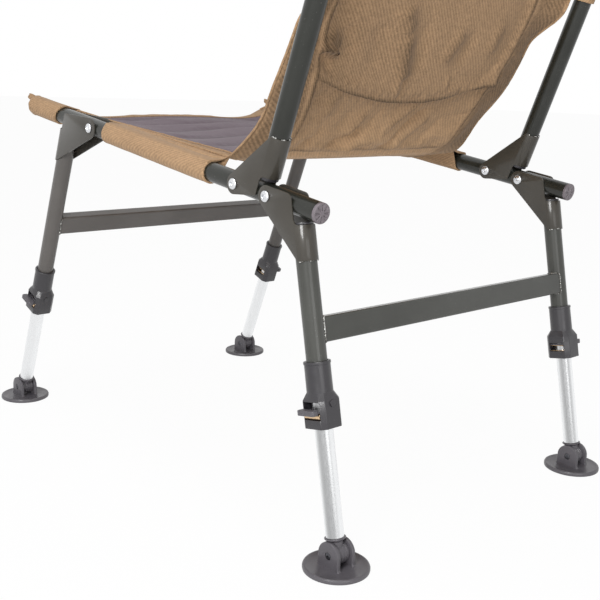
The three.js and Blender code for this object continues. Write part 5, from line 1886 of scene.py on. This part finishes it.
class CHAIR_OT_adjusters(ChairPieces, bpy.types.Operator):
    """Leg adjusters with their thumb levers and leaf springs"""

    bl_idname = "chair.adjusters"
    bl_label = "Leg adjusters"

    def execute(self, context):
        tubing, fittings, _ = self.sizes(context)
        _, foot, level = window_levels(fittings)
        for end, towards, legs, sizes in leg_ends(tubing):
            for side, sign in SIDES:
                name, body = f"{end}_{side}", f"{end}_legs"
                place = legs @ placed(sign * tubing.spacing / 2, towards * sizes["offset"], -sizes["collar"],
                                      0.0 if sign > 0 else math.pi, "Z")
                fit_out(adjuster_housing(f"{name}_collar", fittings, tubing), place, body,
                        [f"{name}_adjuster"])
                leaf = leaf_spring(f"{name}_leaf", fittings)
                fit_out(leaf, place, body, [f"{name}_lock_spring"])
                tuple(place.to_3x3() @ Vector((0, 0, 1)))
                tuple(place @ Vector((0, 0, foot)))
                1 - PRESS / (level - foot)
                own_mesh(leaf)
                fit_out(thumb_lever(f"{name}_lever", fittings), place @ placed(z=level), f"{name}_lock",
                        [f"{name}_lock_lever"])
        return {"FINISHED"}


class CHAIR_OT_feet(ChairPieces, bpy.types.Operator):
    """Extension tubes and the mud feet on their swivels"""

    bl_idname = "chair.feet"
    bl_label = "Extension tubes and feet"

    def execute(self, context):
        tubing, fittings, _ = self.sizes(context)
        height = fittings.foot_thickness + fittings.pin_rise
        for end, towards, legs, sizes in leg_ends(tubing):
            lean, y = towards * sizes["lean"], towards * sizes["offset"]
            drop = (legs.translation.z - height + sizes["offset"] * math.sin(abs(lean))) / math.cos(lean)
            for side, sign in SIDES:
                name, x = f"{end}_{side}", sign * tubing.spacing / 2
                path = [(x, y, fittings.lip_drop + 0.0004 - drop),
                        (x, y, fittings.extension_insert - sizes["collar"])]
                tube = path_tube(f"{name}_inner_leg", path, fittings.extension_radius, f"{end}_aluminium")
                fit_out(tube, legs, f"{name}_extension", [f"{name}_extension_tube"])
                pin = legs @ placed(x, y, -drop)
                add_piece(f"{name}_swivel", foot_knuckle(fittings), "grey", pin, f"{name}_extension",
                          "grey_plastic", f"{name}_foot_knuckle")
                upright = pin @ placed(turn=-lean)
                fit_out(foot_pad(f"{name}_mud_foot", fittings), upright, f"{name}_foot",
                        [f"{name}_foot_pad"], 28)
                add_piece(f"{name}_screw", foot_pin(fittings), "burnished", upright, f"{name}_foot",
                          "zinc_steel", f"{name}_foot_pin")
        return {"FINISHED"}


class CHAIR_OT_padding(ChairPieces, bpy.types.Operator):
    """Padded seat and back as one quilted piece, with piping and stitches on its seams"""

    bl_idname = "chair.padding"
    bl_label = "Padding"

    def execute(self, context):
        tubing, _, sizes = self.sizes(context)
        padding = Padding(sizes, tubing)
        piece = dressed_padding("padding", padding)
        smooth(piece.data, 180)
        points, normals = points_of(piece.data), normals_of(piece.data)

        def lifted(lines, lift):
            spots = [[padding.index(row, column) for row, column in line] for line in lines]
            return [points[line] + normals[line] * lift for line in spots]

        trims, seams, tan = [piece], padding.seams(), finishes()["tan"]
        for name, kind, lift, share in (("piping", "face_edges", -0.0002, 1.0),
                                        ("panel_piping", "panel", -0.0004, 0.7)):
            values = {"Radius": sizes.piping * share, "Finish": tan}
            trims.append(wrapped_map(grown(name, piping_tree(), lifted(seams[kind], lift), values)))
            smooth(trims[-1].data)
        edges = [[(row, column) for row in range(1, padding.rows - 1)] for column in (1, padding.tops - 2)]
        values = {"Stitch": sizes.stitch, "Finish": tan}
        trims.append(wrapped_map(grown("edge_stitches", stitches_tree(), lifted(edges, 0.0001), values)))
        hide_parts("seat_pad", "lower_back_pad", "back_pad")
        for trim in trims:
            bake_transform(trim)
        return {"FINISHED"}


class CHAIR_OT_sleeves(ChairPieces, bpy.types.Operator):
    """Fabric sleeves that carry the padding on the rails and on the hoop"""

    bl_idname = "chair.sleeves"
    bl_label = "Sleeves"

    def execute(self, context):
        tubing, _, sizes = self.sizes(context)
        rear = tubing.backrest_setback - sizes.crease_setback
        spans = (("front", -tubing.rail_overhang, sizes.sleeve_end, True),
                 ("rear", sizes.sleeve_start, rear, False))
        for side, sign in SIDES:
            for label, start, end, tail in spans:
                shape = rail_sleeve(start, end, sign, tubing, sizes, tail)
                self.sew(f"rail_sleeve_{label}_{side}", shape, "seat_frame")
        self.sew("hoop_pocket", hoop_pocket(tubing, sizes), "backrest", upright=True)
        return {"FINISHED"}

    def sew(self, name, shape, body, upright=False):
        sleeve = wrapped_map(object_of(name, shape, "tan"), upright)
        fit_out(sleeve, body_frames()[body], body, limit=60)


WHITE = (1.0, 1.0, 1.0)
FLOOR_HALF = 30.0
SKY_STRENGTH = 0.34

# The camera as fitted to the photograph: its lens, its place, its right, up and back, and its shift
CAMERA_LENS = 56.741
CAMERA_PLACE = (0.97721, 1.08006, 0.54869)
CAMERA_AXES = ((-0.7420690, 0.6695554, 0.0320795), (-0.1192718, -0.1789794, 0.9765964),
               (0.6596270, 0.7208758, 0.2126742))
CAMERA_SHIFT = (0.002075, -0.00837)

# Soft lamps of the studio: name, place, size and power in watts
LAMPS = (
    ("overhead", (0.5, 0.5, 2.9), 1.1, 24.0),
    ("key", (2.3, 1.35, 1.35), 0.9, 50.0),
    ("low", (0.9, 2.6, 0.45), 1.2, 9.0),
)


class CHAIR_OT_studio(ChairPieces, bpy.types.Operator):
    """Pale floor, soft light and the camera"""

    bl_idname = "chair.studio"
    bl_label = "Studio"

    def execute(self, context):
        scene = context.scene
        scene.view_settings.view_transform = "Standard"
        finish = Finish("studio_floor", 0.9, Specular_IOR_Level=0.1)
        dust = finish.noise(finish.place(), 6.0, 3.0)
        finish.set(Base_Color=finish.tint(scene.chair_finishes.floor, 0.995 + dust * 0.01))
        self.brighten(finish)
        corners = [(x * FLOOR_HALF, y * FLOOR_HALF, -0.0005) for x, y in ((-1, -1), (1, -1), (1, 1), (-1, 1))]
        floor = object_of("studio_floor", (corners, [(0, 1, 2, 3)]))
        floor.data.materials.append(finish.material)
        self.light(scene)
        self.camera(scene)
        return {"FINISHED"}

    def brighten(self, finish):
        """Lets the floor show nearly white to the camera and in reflections, with the chair's shadow kept."""
        glow = finish.node("ShaderNodeEmission", {}, {"Color": WHITE, "Strength": 1.0})
        paint = Wire(finish, finish.shader.outputs["BSDF"])
        mix = finish.node("ShaderNodeMixShader", {}, {0: finish.seen() * 0.96, 1: paint, 2: glow})
        finish.feed(finish.surface, mix)

    def light(self, scene):
        scene.world = bpy.data.worlds.new("studio")
        scene.world.use_nodes = True
        sky = Tree(scene.world.node_tree)
        sky.tree.nodes.clear()
        soft, white = (sky.node("ShaderNodeBackground", {}, {"Color": WHITE, "Strength": strength})
                       for strength in (SKY_STRENGTH, 1.0))
        mix = sky.node("ShaderNodeMixShader", {}, {0: sky.seen(), 1: soft, 2: white})
        sky.feed(sky.tree.nodes.new("ShaderNodeOutputWorld").inputs["Surface"], mix)
        for name, place, size, power in LAMPS:
            lamp = bpy.data.lights.new(name, "AREA")
            lamp.shape, lamp.size, lamp.energy = "SQUARE", size, power
            holder = bpy.data.objects.new(name, lamp)
            scene.collection.objects.link(holder)
            aim = (Vector((0, 0, 0.35)) - Vector(place)).to_track_quat("-Z", "Y")
            holder.matrix_world = Matrix.Translation(place) @ aim.to_matrix().to_4x4()
            holder.visible_camera = False

    def camera(self, scene):
        data = bpy.data.cameras.new("camera")
        data.lens, data.sensor_width, data.clip_end = CAMERA_LENS, 36.0, 60.0
        data.shift_x, data.shift_y = CAMERA_SHIFT
        holder = bpy.data.objects.new("camera", data)
        scene.collection.objects.link(holder)
        turn = Matrix(CAMERA_AXES).transposed().to_4x4()
        holder.matrix_world = Matrix.Translation(CAMERA_PLACE) @ turn
        scene.camera = holder


OPERATORS = (CHAIR_OT_rails, CHAIR_OT_backrest_hoop, CHAIR_OT_leg_frames, CHAIR_OT_brackets,
             CHAIR_OT_pivot_bolts, CHAIR_OT_adjusters, CHAIR_OT_feet, CHAIR_OT_padding, CHAIR_OT_sleeves,
             CHAIR_OT_studio)


class CHAIR_PT_pieces(bpy.types.Panel):
    """Sizes, colours and pieces of the chair"""

    bl_idname = "CHAIR_PT_pieces"
    bl_label = "Fishing chair"
    bl_space_type = "VIEW_3D"
    bl_region_type = "UI"
    bl_category = "Chair"

    def draw(self, context):
        scene = context.scene
        for label, group in (("Frame", scene.chair_tubing), ("Leg fittings", scene.chair_fittings),
                             ("Padding", scene.chair_padding), ("Finishes", scene.chair_finishes)):
            box = self.layout.box()
            box.label(text=label)
            for key in group.bl_rna.properties.keys():
                if key not in ("rna_type", "name"):
                    box.prop(group, key)
        for operator in OPERATORS:
            self.layout.operator(operator.bl_idname)


GROUPS = {"chair_tubing": ChairTubing, "chair_fittings": ChairLegFittings, "chair_padding": ChairPadding,
          "chair_finishes": ChairFinishes}


def register():
    for group in GROUPS.values():
        bpy.utils.register_class(group)
    for name, group in GROUPS.items():
        setattr(bpy.types.Scene, name, PointerProperty(type=group))
    for operator in OPERATORS:
        bpy.utils.register_class(operator)
    bpy.utils.register_class(CHAIR_PT_pieces)


def unregister():
    bpy.utils.unregister_class(CHAIR_PT_pieces)
    for operator in reversed(OPERATORS):
        bpy.utils.unregister_class(operator)
    for name in GROUPS:
        delattr(bpy.types.Scene, name)
    for group in GROUPS.values():
        bpy.utils.unregister_class(group)


def main():
    register()
    bpy.ops.chair.rails()
    bpy.ops.chair.backrest_hoop()
    bpy.ops.chair.leg_frames()
    bpy.ops.chair.brackets()
    bpy.ops.chair.pivot_bolts()
    bpy.ops.chair.adjusters()
    bpy.ops.chair.feet()
    bpy.ops.chair.padding()
    bpy.ops.chair.sleeves()
    bpy.ops.chair.studio()


if __name__ == "__main__":
    main()
